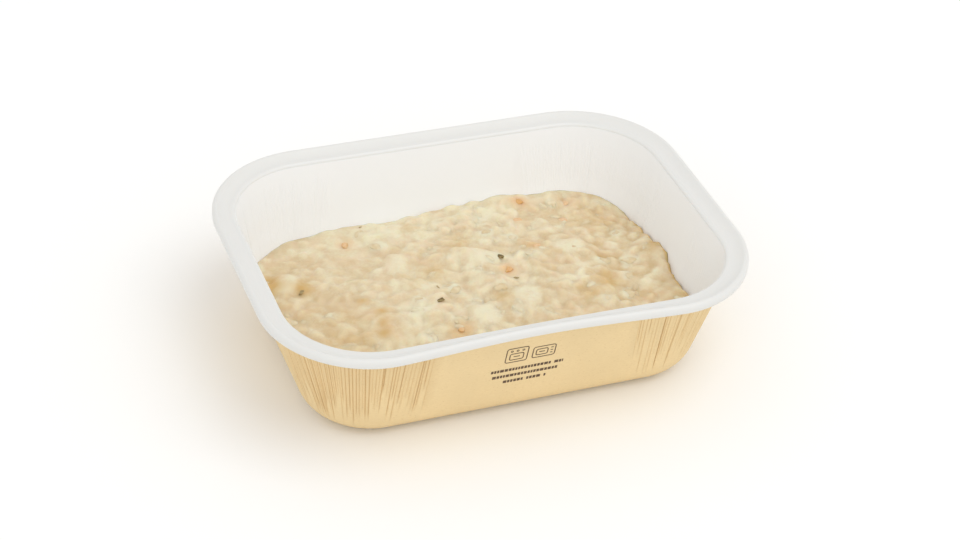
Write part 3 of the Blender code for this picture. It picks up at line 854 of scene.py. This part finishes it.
def place_grains(risotto, tray):
    """Where the grains of the top layer lie: rows of x, y, heading, length, width, height and top level."""
    rolls = random.Random(7)
    spacing = risotto.grain_spacing
    half_x, half_y = tray.wall_top_length / 2, tray.wall_top_width / 2
    cells, grains = {}, []
    for _ in range(GRAIN_TRIES):
        x, y = rolls.uniform(-half_x, half_x), rolls.uniform(-half_y, half_y)
        row, column = int(y // spacing), int(x // spacing)
        around = [(column + side, row + up) for side in (-1, 0, 1) for up in (-1, 0, 1)]
        near = [cells[cell] for cell in around if cell in cells]
        if (column, row) in cells or is_near((x, y), near, spacing):
            continue
        cells[column, row] = x, y
        # Neighbours lie much the same way, in swirls of 22 mm
        drift = noise_over(x, y, 22 * MM, 3.0)
        heading = math.pi * 2.2 * drift + rolls.gauss(0, 0.55)
        length = risotto.grain_length * rolls.uniform(0.82, 1.12)
        width = risotto.grain_width * rolls.uniform(0.85, 1.12)
        grains.append((x, y, heading, length, width, width * rolls.uniform(0.78, 0.92), rolls.gauss(0, 1)))
        rolls.random()      # one number for each grain is left unused
    grains = np.array(grains)
    x, y, heading, length = grains.T[:4]
    level = heap_level(risotto, tray, x, y)
    reach_x, reach_y = np.cos(heading) * length / 2, np.sin(heading) * length / 2
    clear = [rice_margin(risotto, tray, x + end * reach_x, y + end * reach_y, level)[0] for end in (-1, 0, 1)]
    creamy = amount_at(x, y, CREAMY_PLACES)
    uneven = np.clip(grains[:, 6], -1.6, 1.6) * mix(0.42 * MM, 0.40 * MM, creamy)
    grains[:, 6] = level + uneven - creamy * 0.1 * MM
    return grains[np.min(clear, axis=0) > 0.9 * MM]


def shred_places(risotto, tray):
    """Where the loose shreds of cod lie: rows of x, y, length, width, height and turn in degrees."""
    rolls = random.Random(77)
    places = []
    while len(places) < risotto.shreds:
        x, y = (rolls.uniform(*ends) for ends in SHRED_AREA)
        margin = rice_margin(risotto, tray, x, y, heap_level(risotto, tray, x, y))[0]
        if margin >= 5 * MM and not is_near((x, y), places, 8 * MM):
            places.append((x, y, *(rolls.uniform(*ends) for ends in SHRED_SIZES)))
    return places


def clump_relief(risotto, x, y, tint):
    """Rounded clumps of rice and sauce, joined by soft hollows: their height, and the tint with theirs."""
    rolls = random.Random(15)
    relief = np.full(x.shape, -risotto.clump_height / 2)
    places = []
    for _ in range(CLUMP_TRIES):
        place = (rolls.uniform(GRID_X[0], GRID_X[-1]), rolls.uniform(GRID_Y[0], GRID_Y[-1]))
        if is_near(place, places, risotto.clump_size * CLUMP_SPACING):
            continue
        places.append(place)
        length = risotto.clump_size * rolls.uniform(0.9, 1.5)
        width = risotto.clump_size * rolls.uniform(0.75, 1.1)
        middle, part = window(*place, length)
        swell = oval_swell(x[part], y[part], place, length, width, rolls.uniform(0, math.pi))
        rise = risotto.clump_height * rolls.uniform(0.5, 1.3)
        dome = np.where(swell > 0, -risotto.clump_height / 2 + rise * np.sqrt(np.clip(swell, 0, 1)), -1.0)
        relief[part] = soft_max(relief[part], dome, 0.8 * MM)
        own_tint = tint[middle] + rolls.uniform(-0.55, 0.45)
        tint[part] = mix(tint[part], own_tint, 0.7 * smooth_step(1.6 * swell))
    return blurred(relief, 2), tint


def sauce_surface(risotto, tray):
    """The sauce's surface on a fine grid: it fills between the grains and climbs over most of them. With it
    come how deep in the hollows each point lies, for painted shade there and painted light on the crests, its
    tint, and each grain's place, film of sauce and tint."""
    x, y = np.meshgrid(GRID_X, GRID_Y)
    level = heap_level(risotto, tray, x, y)
    creamy = amount_at(x, y, CREAMY_PLACES)
    # Tints run in patches of 18, 9 and 4.5 mm, less so on the left
    uneven = mix(1.0, 0.6, smooth_step((-x - 10 * MM) / (30 * MM)))
    tint = 0.5 + uneven * (0.4 * noise_over(x, y, 18 * MM, 22.0) + 0.4 * noise_over(x, y, 9 * MM, 20.0))
    tint += 0.35 * noise_over(x, y, 4.5 * MM, 21.0)
    # Darker towards both ends and the front, and paler at the back; the darkening at both ends, most on the
    # left, is painted shade: distance, its start and reach, how much
    for distance, start, reach, darkening in ((np.abs(x + 5 * MM), 20, 30, 0.25), (-x, 30, 20, 0.08),
                                            (-y, 20, 30, 0.4), (y, 20, 30, -0.2)):
        tint += darkening * smooth_step((distance - start * MM) / (reach * MM))
    clumps, tint = clump_relief(risotto, x, y, tint)
    lifted = clumps * mix(1.0, 0.5, creamy)
    surface = level - risotto.sauce_drop * mix(1.0, 0.5, creamy) + lifted
    grains = place_grains(risotto, tray)
    rolls = random.Random(23)
    films, tints = [], []
    for *place, heading, length, width, height, top in grains:
        creamy_here = amount_at(*place, CREAMY_PLACES)
        film = mix(rolls.uniform(-0.00025, 0.0006), rolls.uniform(-0.00005, 0.0005), creamy_here)
        middle, part = window(*place, length)
        own_tint = tint[middle] + rolls.uniform(-0.42, 0.42)
        films.append(film)
        tints.append(own_tint)
        swell = oval_swell(x[part], y[part], place, length, width, heading, 2.4)
        crest = top - height / 2 * (1 - np.sqrt(np.clip(swell, 0, 1))) + film
        crest = np.where(swell > 0, crest + 0.85 * lifted[part], -1.0)
        tint[part] = mix(tint[part], own_tint, 0.8 * smooth_step((crest - surface[part]) / (0.4 * MM) + 0.5))
        surface[part] = soft_max(surface[part], crest, mix(1.2 * MM, 0.9 * MM, creamy_here))
    # Sauce stands up round each flake and shred of cod, and is pale there
    for *place, length, width, height, turn in [*COD_FLAKES, *shred_places(risotto, tray)]:
        swell = oval_swell(x, y, place, COD_SWELL * length, COD_SWELL * width, math.radians(turn))
        dome = level - 0.5 * MM + height * COD_SWELL_RISE * np.sqrt(np.clip(swell, 0, 1))
        surface = soft_max(surface, np.where(swell > 0, dome, -1.0), 1.2 * MM)
        tint = mix(tint, 0.1, smooth_step(swell * 1.3))
    surface = blurred(surface, 3)
    # Hollows between grains, and broad ones between clumps: painted shade in them, and painted light on the
    # crests
    fine = (blurred(surface, 5) - surface) / (0.6 * MM)
    broad = (blurred(surface, 14) - surface) / (1.4 * MM)
    return SimpleNamespace(level=level, surface=surface, hollow=0.6 * fine + 0.6 * broad,
                           tint=np.clip(blurred(tint, 2), 0, 1),
                           grains=grains, films=films, tints=np.clip(tints, 0, 1))


def cell_corners(grid):
    """The values at the four corners of each cell of a grid."""
    return np.stack([grid[:-1, :-1], grid[:-1, 1:], grid[1:, 1:], grid[1:, :-1]], axis=-1)


def boundary_loop(quads):
    """The outer edge of a sheet of quads, as points in order."""
    edges = {edge for quad in quads for edge in zip(quad, quad[1:] + quad[:1])}
    following = {a: b for a, b in edges if (b, a) not in edges}
    start = min(following)
    loop = [start]
    while (point := following[loop[-1]]) != start:
        loop.append(point)
    return loop


def sauce_mesh(risotto, tray, heap):
    """The sauce's mesh: an even grid cut to the wall, then down the wall and closed under the foot."""
    pitch = risotto.sauce_pitch
    x, y = np.meshgrid(*(np.arange(-half, half, pitch) for half in HALF_SHEET))
    level = sampled(heap.level, x, y)
    inside = rice_margin(risotto, tray, x, y, level)[0] > pitch * 0.35
    quads = cell_corners(np.arange(x.size).reshape(x.shape))[cell_corners(inside).all(axis=-1)]
    used, quads = np.unique(quads, return_inverse=True)
    quads = quads.reshape(-1, 4)
    x, y, level = (grid.ravel()[used] for grid in (x, y, level))
    loop = np.array(boundary_loop(quads.tolist()))
    x[loop], y[loop] = out_to_edge(risotto, tray, x[loop], y[loop], level[loop])
    margin = rice_margin(risotto, tray, x, y, level)[0]
    right = right_side(x, y)
    # The edge turns down to the wall, further on the right, where it also crumbles
    turn, near_edge, groove = (1 - np.clip(margin / (width * MM), 0, 1) for width in (1.4, 4, 1.2))
    z = sampled(heap.surface, x, y) - mix(0.4 * MM, 1.2 * MM, right) * turn ** 2
    crumbs = 2.0 * MM * noise_over(x, y, 4.5 * MM, 31.0) + 1.1 * MM * noise_over(x, y, 2.2 * MM, 32.0)
    z += right * crumbs * near_edge
    # Painted shade: darker in a groove along the edge, most on the right, where the gap to the wall lies
    hollow = sampled(heap.hollow, x, y) + mix(0.2, 1.4, right) * groove
    # Rings below the edge: height, how far off on the right, how far in under the foot
    edge, even = z[loop], np.ones(len(loop))
    rings = [(edge - 0.2 * MM, RIGHT_PULL, 0.0), (edge - 0.4 * MM, RIGHT_PULL, 0.0),
             (edge - 0.5 * MM, 0.0, 0.0), (12.5 * MM * even, 0.0, 0.0)]
    inset = tray.board_thickness + risotto.gap
    radius = tray.foot_fillet - inset
    turns = 6
    for step in range(turns + 1):
        angle = QUARTER_TURN * step / turns
        rings.append((even * (inset + radius * (1 - math.sin(angle))), 0.0, radius * (1 - math.cos(angle))))
    points = [np.stack([x, y, z], axis=1)]
    for height, pull, tuck in rings:
        ring_x, ring_y = out_to_edge(risotto, tray, x[loop], y[loop], height, pull, tuck)
        points.append(np.stack([ring_x, ring_y, height], axis=1))
    points = np.concatenate(points)
    count, top = len(loop), len(x)
    ring = np.arange(top, top + count)
    skirt = np.stack([loop, np.roll(loop, -1), np.roll(ring, -1), ring], axis=1)
    faces = np.concatenate([quads, skirt, ring_quads(count, len(rings), top)]).tolist()
    faces.append(range(len(points) - 1, len(points) - count - 1, -1))
    # Browner along the right edge, as a brown film and painted shade of the gap to the wall; browner in the
    # hollows at the right as painted shade; and down the wall, darkest, as painted shade below the edge
    below = np.ones(len(points) - top)
    film = right * smooth_step(1.4 - margin / (1.4 * MM))
    right_hollow_shade = 0.45 * smooth_step((x - 30 * MM) / (30 * MM)) * np.clip(hollow, 0, 1)
    halos = [(x, y, 3.2 * MM, min(0.15 + depth, 1.0)) for x, y, _, _, depth in CARROT_BITS]
    return points, faces, {
        "hollow": np.concatenate([hollow, below]),
        "tint": np.concatenate([sampled(heap.tint, x, y), 0.5 * below]),
        "ochre": np.maximum(amount_at(*points.T[:2], OCHRE_PLACES),
                            np.concatenate([np.maximum(film, right_hollow_shade), 0.8 * below])),
        "orange": amount_at(*points.T[:2], halos),
    }


def shape_grid(sides, rings):
    """Places along a round shape, -1 to 1, in a column, and angles round it in a row."""
    along = -np.cos(math.pi * np.arange(1, rings) / rings)
    return along[:, None], 2 * math.pi * np.arange(sides) / sides


def round_shape(x, y, z):
    """A shape one unit long, from grids of the points round it, with a point at each end."""
    rings, sides = y.shape
    around = np.stack(np.broadcast_arrays(x, y, z), axis=-1).reshape(-1, 3)
    last = 1 + rings * sides
    faces = [(0, 1 + i, 1 + (i + 1) % sides) for i in range(sides)]
    faces += ring_quads(sides, rings, 1).tolist()
    faces += [(last - sides + i, last, last - sides + (i + 1) % sides) for i in range(sides)]
    return np.concatenate([[(-0.5, 0.0, 0.0)], around, [(0.5, 0.0, 0.0)]]), faces


def grain_shape(rolls, sides=10, rings=9):
    """One plump cooked grain, one unit long, wide and high: blunt ends and a faint groove."""
    along, angle = shape_grid(sides, rings)
    bend, blunt = rolls.uniform(-0.05, 0.05), rolls.uniform(2.2, 2.9)
    rough = np.array([rolls.uniform(-0.03, 0.03) for _ in range(sides * (rings - 1))]).reshape(-1, sides)
    size = 0.5 * (1 - np.abs(along) ** blunt) ** 0.5 * (1 + 0.07 * along)
    size = size * (1 - 0.08 * np.maximum(np.cos(angle - 1.1), 0) ** 4 + rough)
    return round_shape(along / 2, size * np.cos(angle) + bend * (1 - along ** 2), size * np.sin(angle))


def shred_shape(rolls, sides=14, rings=11):
    """A loose bit of cod, one unit each way: a smooth, lumpy flake, thinner towards its ends."""
    along, angle = shape_grid(sides, rings)
    layer = rolls.uniform(0, 50)
    lump = np.array([[noise.noise(Vector((1.2 * t + layer, math.cos(a), math.sin(a)))) for a in angle]
                     for t in along[:, 0]]) * 0.32 + 1
    size = 0.5 * (1 - np.abs(along) ** 2.3) ** 0.5 * lump
    return round_shape(along / 2 * lump, size * np.cos(angle), size * np.sin(angle))


def cut_shape(rolls, corners=(7, 5), uneven=0.12):
    """A small chopped piece with soft uneven edges, one unit each way."""
    sides, rings = corners
    outline = [1 + uneven * rolls.uniform(-2, 1) for _ in range(sides)]
    points = []
    for ring in range(rings + 1):
        t = -1 + 2 * ring / rings
        size = 0.5 * (1 - abs(t) ** 5) ** 0.5 if 0 < ring < rings else 0.16
        for side in range(sides):
            cosine, sine = math.cos(2 * math.pi * side / sides), math.sin(2 * math.pi * side / sides)
            reach = size / max(abs(cosine), abs(sine)) ** 0.5 * outline[side] * rolls.uniform(0.93, 1.07)
            points.append((reach * cosine, reach * sine, t / 2))
    return np.array(points), [*ring_quads(sides, rings + 1), range(sides), range(rings * sides, len(points))]


def laid(points, size, place, heading, lean=Matrix.Identity(3)):
    """A shape's points scaled to a size, leant, turned to a heading and put in place."""
    turn = np.array(Matrix.Rotation(heading, 3, "Z") @ lean)
    return points * np.array(size) @ turn.T + np.array(place)


def make_joined(name, parts, material, sharp_over):
    """One piece of several parts. Each is points, faces and the tint of its points."""
    points, faces, tints = [], [], []
    for part_points, part_faces, tint in parts:
        faces += [[index + len(points) for index in face] for face in part_faces]
        points += part_points.tolist()
        tints += [tint] * len(part_points)
    return make_piece(name, points, faces, material, sharp_over, {"tint": tints})


def grain_parts(heap):
    """The grains whose tops stand out of the sauce, as parts to join."""
    rolls = random.Random(31)
    shapes = [grain_shape(rolls) for _ in range(8)]
    parts = []
    for (x, y, heading, length, width, height, _), film, tint in zip(heap.grains, heap.films, heap.tints):
        if film > LOOSE_FILM:
            continue
        points, faces = rolls.choice(shapes)
        lean = Matrix.Rotation(rolls.gauss(0, 0.07), 3, "Y") @ Matrix.Rotation(rolls.uniform(0, 6.3), 3, "X")
        crown = sampled(heap.surface, x, y) + rolls.uniform(-0.00008, 0.00009)
        # Grains in hollows are tinted darker as painted shade, and browner in the ochre places
        shade = np.clip(sampled(heap.hollow, x, y), 0, 1) + amount_at(x, y, OCHRE_PLACES)
        size = (length, (width + height) / 2, (width + height) / 2)
        parts.append((laid(points, size, (x, y, crown - height / 2), heading, lean), faces,
                      min(max(tint, 0.35) + 0.5 * shade, 1.0)))
    return parts


def cod_flake_mesh(risotto, tray, number, flake):
    """A flake of cod: curved leaves of flesh that overlap like cards, with a ragged outline."""
    centre_x, centre_y, length, width, height, turn = flake
    rolls = random.Random(60 + number)
    shift, leaves = rolls.uniform(0, 1), rolls.uniform(1.8, 2.6)
    sides, rings = 60, 22
    angle = 2 * math.pi * np.arange(sides) / sides
    share = 1 - np.arange(rings)[:, None] / rings
    outline = 1
    for ragged, often in ((0.25, 1.4), (0.06, 4)):
        outline = outline + ragged * noise_over(often * np.cos(angle), often * np.sin(angle), 1.0, number)
    along, aside = length / 2 * share * outline * np.cos(angle), width / 2 * share * outline * np.sin(angle)
    cosine, sine = math.cos(math.radians(turn)), math.sin(math.radians(turn))
    x, y = centre_x + along * cosine - aside * sine, centre_y + along * sine + aside * cosine
    # Each leaf rises over the first third of its width, and falls off over the rest
    bow = (along / length + 0.7 * (aside / width) ** 2) * leaves + shift
    card = (bow + 0.3 * noise_over(x, y, 5 * MM, number)) % 1.0
    leaf = smooth_step(np.minimum(card / 0.35, (1 - card) / 0.65)) - 0.5
    leaf *= 0.07 * np.minimum(1.0, 2.4 * (1 - share))
    dome = mix(-0.55, 0.30, (1 - share ** 2.2) ** 0.5) + 0.14 * noise_over(x, y, 4.5 * MM, number)
    z = heap_level(risotto, tray, x, y) + height * (dome + leaf)
    points = np.stack([x, y, z], axis=-1).reshape(-1, 3)
    tip = (centre_x, centre_y, heap_level(risotto, tray, centre_x, centre_y) + height * 0.30)
    top, last, under = len(points), len(points) - sides, len(points) + 1
    faces = ring_quads(sides, rings).tolist()
    faces += [(last + i, last + (i + 1) % sides, top) for i in range(sides)]
    faces += [(i, (i + 1) % sides, under + (i + 1) % sides, under + i) for i in range(sides)]
    faces.append(range(under, under + sides))
    return np.concatenate([points, [tip], points[:sides] - (0.0, 0.0, COD_UNDERSIDE)]), faces


def top_of(names):
    """A function that gives the height of the highest of some pieces at a point."""
    depsgraph = bpy.context.evaluated_depsgraph_get()
    trees = [BVHTree.FromObject(bpy.data.objects[name], depsgraph) for name in names]

    def height(x, y):
        above, down = Vector((x, y, 0.1)), Vector((0.0, 0.0, -1.0))
        hits = [tree.ray_cast(above, down)[0] for tree in trees]
        return max(hit.z for hit in hits if hit is not None)

    return height


# The risotto's materials

def sauce_material(risotto):
    """Creamed sauce, stirred: glossy but soft, light goes in a few millimetres, with painted shade deeper in
    hollows and painted light paler on crests.
    """
    material, tree, place = new_material("creamed_sauce_stirred")
    # Streaks of starch and stock about 8 mm across, slow tinges of 9 mm, and curds of about 1 mm
    streaks = add_node(tree, "TexNoise", place, Scale=125.0, Detail=3.0, Distortion=0.6)
    tinges = add_node(tree, "TexNoise", place, Scale=110.0, Detail=3.0)
    curds = add_node(tree, "TexNoise", place, Scale=1000.0, Detail=3.0)
    hollow, tint, ochre, orange = (add_node(tree, "Attribute", attribute_name=name, output="Fac")
                                   for name in ("hollow", "tint", "ochre", "orange"))
    streaked = add_node(tree, "MapRange", streaks, *NOISE_MIDDLE, -0.2, 0.2)
    freckled = add_node(tree, "MapRange", curds, *NOISE_MIDDLE, -0.12, 0.12)
    mottled = add_node(tree, "Math", streaked, freckled, operation="ADD")
    ochre_streaks = add_node(tree, "MapRange", streaks, *NOISE_MIDDLE, 0.7, 1.0)
    return finish_material(material, risotto.sauce_pale, (
        (add_node(tree, "Math", tint, mottled, operation="ADD", use_clamp=True), risotto.sauce_tan),
        (tinges, 0.48, 0.66, 0.0, 0.4, risotto.sauce_blush),
        # Painted light paler on the crests, and painted shade deeper in the hollows
        (hollow, 0.0, -1.0, 0.0, 0.5, risotto.sauce_pale),
        (hollow, 0.15, 1.6, 0.0, 0.65, risotto.sauce_hollow_shade),
        # The ochre attribute holds browned places, and painted shade along the right edge and in its hollows
        (add_node(tree, "Math", ochre, ochre_streaks, operation="MULTIPLY"), risotto.sauce_ochre),
        (orange, risotto.sauce_orange),
    ), rough=(curds, 0.4, 0.56), bump=(curds, 0.18, 0.3 * MM), IOR=1.38,
        Subsurface_Weight=0.7, Subsurface_Radius=FOOD_GLOW, Subsurface_Scale=3 * MM)


def tinted_material(name, pale, dark, grain_size, roughness, depth):
    """Soft cooked food with a moist skin, each piece of its own tint between a pale and a dark colour.
    grain_size is that of its mottle, and depth is how far light goes into it."""
    material, tree, place = new_material(name)
    mottle = add_node(tree, "TexNoise", place, Scale=1 / grain_size, Detail=3.0)
    tint = add_node(tree, "Attribute", attribute_name="tint", output="Fac")
    spread = add_node(tree, "MapRange", mottle, *NOISE_ENDS, -0.35, 0.35)
    share = add_node(tree, "Math", tint, spread, operation="ADD", use_clamp=True)
    return finish_material(
        material, pale, ((share, dark),), rough=(mottle, roughness - 0.06, roughness + 0.08),
        bump=(mottle, 0.2, 0.2 * MM), IOR=1.4,
        Subsurface_Weight=0.4, Subsurface_Radius=FOOD_GLOW, Subsurface_Scale=depth)


# Operators

class RISOTTO_OT_board(bpy.types.Operator):
    """Make the pressed board: a kraft outside and a white lining, with folded corners"""
    bl_idname = "risotto.board"
    bl_label = "Pressed board"

    def execute(self, context):
        tray = context.scene.tray
        layer = tray.board_thickness - tray.lining_thickness
        # The base's middle is raised by a third of a millimetre, in from the rounded foot
        panel = in_metres(2, ((1.2, 0.0), (2.0, 0.12), (3.2, 0.3), (4.2, 0.34)))
        outside = board_skin(tray, 0.0, levels=16, folded=1.0, flat_rings=panel)
        between = board_skin(tray, layer, levels=6, folded=0.6, flat_rings=panel)
        board = make_board_layer("board_outside", outside, between, kraft_material(tray))
        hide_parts("tray_board")
        between = board_skin(tray, layer, levels=6, folded=0.6)
        inside = board_skin(tray, tray.board_thickness, levels=22, folded=0.35, drawn_in=True)
        lining = make_board_layer("board_lining", between, inside, lining_material(tray))
        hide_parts("tray_board")
        return {"FINISHED"}


class RISOTTO_OT_rim(bpy.types.Operator):
    """Make the moulded rim with its rounded lip, sloping flange and inner skirt"""
    bl_idname = "risotto.rim"
    bl_label = "Moulded rim"

    def execute(self, context):
        tray = context.scene.tray
        section = rim_section(tray)
        points, edges = [], []
        for inward, height in section:
            outline = rounded_outline(rim_sizes(tray, inward), corner_steps=40, side_steps=RIM_SIDE_STEPS)
            for x, y in outline:
                points.append((x, y, tray.rim_height + height + front_bow(tray, x, y, inward)))
            # Painted highlight: paler over the roll into the opening and down the skirt
            into_opening = (inward - tray.flange_width) / tray.opening_rounding + 0.8
            edges += [0.4 * smooth_step(into_opening)] * len(outline)
        faces = ring_quads(len(outline), len(section) + 1) % len(points)
        rim = make_piece("moulded_rim", points, faces, rim_material(tray), 60, {"edge": edges})
        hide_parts("tray_rim")
        return {"FINISHED"}


class RISOTTO_OT_print(bpy.types.Operator):
    """Print plain outlined shapes and dashes on the front wall"""
    bl_idname = "risotto.print_marks"
    bl_label = "Printed marks"

    def execute(self, context):
        tray = context.scene.tray
        points, faces = ink_strokes(tray, print_strokes())
        make_piece("printed_marks", points, faces, ink_material(tray), 30)
        return {"FINISHED"}


class RISOTTO_OT_rice(bpy.types.Operator):
    """Heap the risotto: the sauce's surface with the grains that stand out of it"""
    bl_idname = "risotto.rice"
    bl_label = "Rice and sauce"

    def execute(self, context):
        tray, risotto = context.scene.tray, context.scene.risotto
        heap = sauce_surface(risotto, tray)
        points, faces, values = sauce_mesh(risotto, tray, heap)
        sauce = make_piece("risotto_sauce", points, faces, sauce_material(risotto), 80, values,
                           merged_within=0.002 * MM)
        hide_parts("risotto")
        rice = tinted_material("arborio_rice_boiled", risotto.sauce_pale, risotto.sauce_tan,
                               grain_size=2.2 * MM, roughness=0.44, depth=0.8 * MM)
        grains = make_joined("rice_grains", grain_parts(heap), rice, 80)
        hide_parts("risotto")
        return {"FINISHED"}


class RISOTTO_OT_cod(bpy.types.Operator):
    """Lay the flakes and shreds of salt cod on the risotto"""
    bl_idname = "risotto.cod"
    bl_label = "Salt cod"

    def execute(self, context):
        tray, risotto = context.scene.tray, context.scene.risotto
        flesh = tinted_material("salt_cod_poached", risotto.cod, risotto.cod_dark,
                                grain_size=2.4 * MM, roughness=0.46, depth=0.8 * MM)
        for number, flake in enumerate(COD_FLAKES, start=1):
            points, faces = cod_flake_mesh(risotto, tray, number, flake)
            values = {"tint": np.full(len(points), 0.25)}
            flake = make_piece(f"cod_{number}", points, faces, flesh, 70, values)
            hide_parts(f"cod_flake_{number}")
        on_top = top_of(["risotto_sauce"])
        rolls = random.Random(78)
        parts = []
        for x, y, length, width, height, turn in shred_places(risotto, tray):
            points, faces = shred_shape(rolls)
            middle = on_top(x, y) - height / 2 + rolls.uniform(0.00005, 0.0002)
            points = laid(points, (length, width, height), (x, y, middle), math.radians(turn))
            parts.append((points, faces, rolls.uniform(0.45, 1.0)))
        make_joined("cod_shreds", parts, flesh, 80)
        return {"FINISHED"}


class RISOTTO_OT_garnish(bpy.types.Operator):
    """Add the bits of carrot and the flecks of herb"""
    bl_idname = "risotto.garnish"
    bl_label = "Carrot and herbs"

    def execute(self, context):
        risotto = context.scene.risotto
        flakes = [f"cod_{number}" for number in range(1, len(COD_FLAKES) + 1)]
        on_top = top_of(["risotto_sauce", "rice_grains", *flakes])
        rolls = random.Random(91)
        carrots, herbs = [], []
        for x, y, length, turn, depth in CARROT_BITS:
            points, faces = cut_shape(rolls)
            place = (x, y, on_top(x, y) - 0.25 * MM)
            points = laid(points, (1.3 * length, length, 1.1 * MM), place, math.radians(turn))
            carrots.append((points, faces, 1 - depth))
        carrot = tinted_material("carrot_boiled", risotto.carrot, risotto.carrot_pale,
                                 grain_size=1.0 * MM, roughness=0.38, depth=0.8 * MM)
        make_joined("carrot_bits", carrots, carrot, 60)
        for x, y, length, width, turn, film in HERB_FLECKS:
            points, faces = cut_shape(rolls, corners=(9, 4), uneven=0.22)
            lean = Matrix.Rotation(rolls.uniform(-0.2, 0.2), 3, "X")
            lean = lean @ Matrix.Rotation(rolls.uniform(-0.1, 0.1), 3, "Y")
            points = laid(points, (length, width, 0.4 * MM), (x, y, on_top(x, y)), math.radians(turn), lean)
            herbs.append((points, faces, film))
        herb = tinted_material("parsley_chopped", risotto.herb, risotto.herb_pale,
                               grain_size=0.8 * MM, roughness=0.45, depth=0.2 * MM)
        make_joined("herb_flecks", herbs, herb, 60)
        return {"FINISHED"}


class RISOTTO_OT_stage(bpy.types.Operator):
    """Set the pale floor, the soft lights and the camera"""
    bl_idname = "risotto.stage"
    bl_label = "Floor, light and camera"

    def execute(self, context):
        scene, stage = context.scene, context.scene.stage
        half = stage.floor_size / 2
        data = bpy.data.meshes.new("floor")
        corners = [(side_x * half, side_y * half, 0.0) for side_x, side_y in CORNERS]
        data.from_pydata(corners, [], [range(4)])
        # Paper, rolled out: matt and almost even, so that it only holds the tray's shadow
        material, tree, place = new_material("paper_sweep")
        soft = add_node(tree, "TexNoise", place, Scale=2.0)
        shade = toned(stage.floor, 0.99, 0.99, 0.99)
        data.materials.append(
            finish_material(material, stage.floor, ((soft, shade),), Roughness=0.9, Specular_IOR_Level=0.1))
        floor = bpy.data.objects.new("floor", data)
        scene.collection.objects.link(floor)
        for name, place, size, power in (
            ("key_light", (0.90, -1.00, 2.90), 2.4, stage.key_power),
            ("fill_light", (-2.20, -2.20, 1.50), 2.2, stage.fill_power),
        ):
            lamp = bpy.data.lights.new(name, "AREA")
            lamp.size, lamp.energy = size, power
            light = bpy.data.objects.new(name, lamp)
            light.location = place
            light.rotation_euler = (Vector(place) - LIGHT_AIM).to_track_quat("Z", "Y").to_euler()
            scene.collection.objects.link(light)
        scene.world = bpy.data.worlds.new("studio")
        scene.world.use_nodes = True
        sky = scene.world.node_tree.nodes["Background"].inputs
        sky["Color"].default_value = (1.0, 1.0, 1.0, 1.0)
        sky["Strength"].default_value = stage.sky_strength
        scene.view_settings.view_transform = "Standard"
        camera = bpy.data.objects.new("camera", bpy.data.cameras.new("camera"))
        camera.data.lens = CAMERA_LENS
        camera.matrix_world = (Matrix.Translation((0.0, 0.0, CAMERA_AIM_HEIGHT))
                               @ Matrix.Rotation(math.radians(CAMERA_AZIMUTH), 4, "Z")
                               @ Matrix.Rotation(math.radians(90 - CAMERA_ELEVATION), 4, "X")
                               @ Matrix.Rotation(math.radians(CAMERA_ROLL), 4, "Z")
                               @ Matrix.Translation(CAMERA_PLACE))
        scene.collection.objects.link(camera)
        scene.camera = camera
        return {"FINISHED"}


class RISOTTO_PT_panel(bpy.types.Panel):
    """Sizes, colours and steps of the risotto tray"""
    bl_idname = "RISOTTO_PT_panel"
    bl_label = "Salt cod risotto"
    bl_space_type = "VIEW_3D"
    bl_region_type = "UI"
    bl_category = "Risotto"

    def draw(self, context):
        layout = self.layout
        for maker in MAKERS:
            layout.operator(maker.bl_idname)
        for name in SETTINGS:
            group = getattr(context.scene, name)
            box = layout.box()
            for setting in group.__annotations__:
                box.prop(group, setting)


SETTINGS = {"tray": TraySettings, "risotto": RisottoSettings, "stage": StageSettings}
MAKERS = (RISOTTO_OT_board, RISOTTO_OT_rim, RISOTTO_OT_print, RISOTTO_OT_rice, RISOTTO_OT_cod,
          RISOTTO_OT_garnish, RISOTTO_OT_stage)
CLASSES = (*SETTINGS.values(), *MAKERS, RISOTTO_PT_panel)


def register():
    for made in CLASSES:
        bpy.utils.register_class(made)
    for name, group in SETTINGS.items():
        setattr(bpy.types.Scene, name, PointerProperty(type=group))


def unregister():
    for name in SETTINGS:
        delattr(bpy.types.Scene, name)
    for made in reversed(CLASSES):
        bpy.utils.unregister_class(made)


def main():
    register()
    for maker in MAKERS:
        group, name = maker.bl_idname.split(".")
        getattr(getattr(bpy.ops, group), name)()


if __name__ == "__main__":
    main()
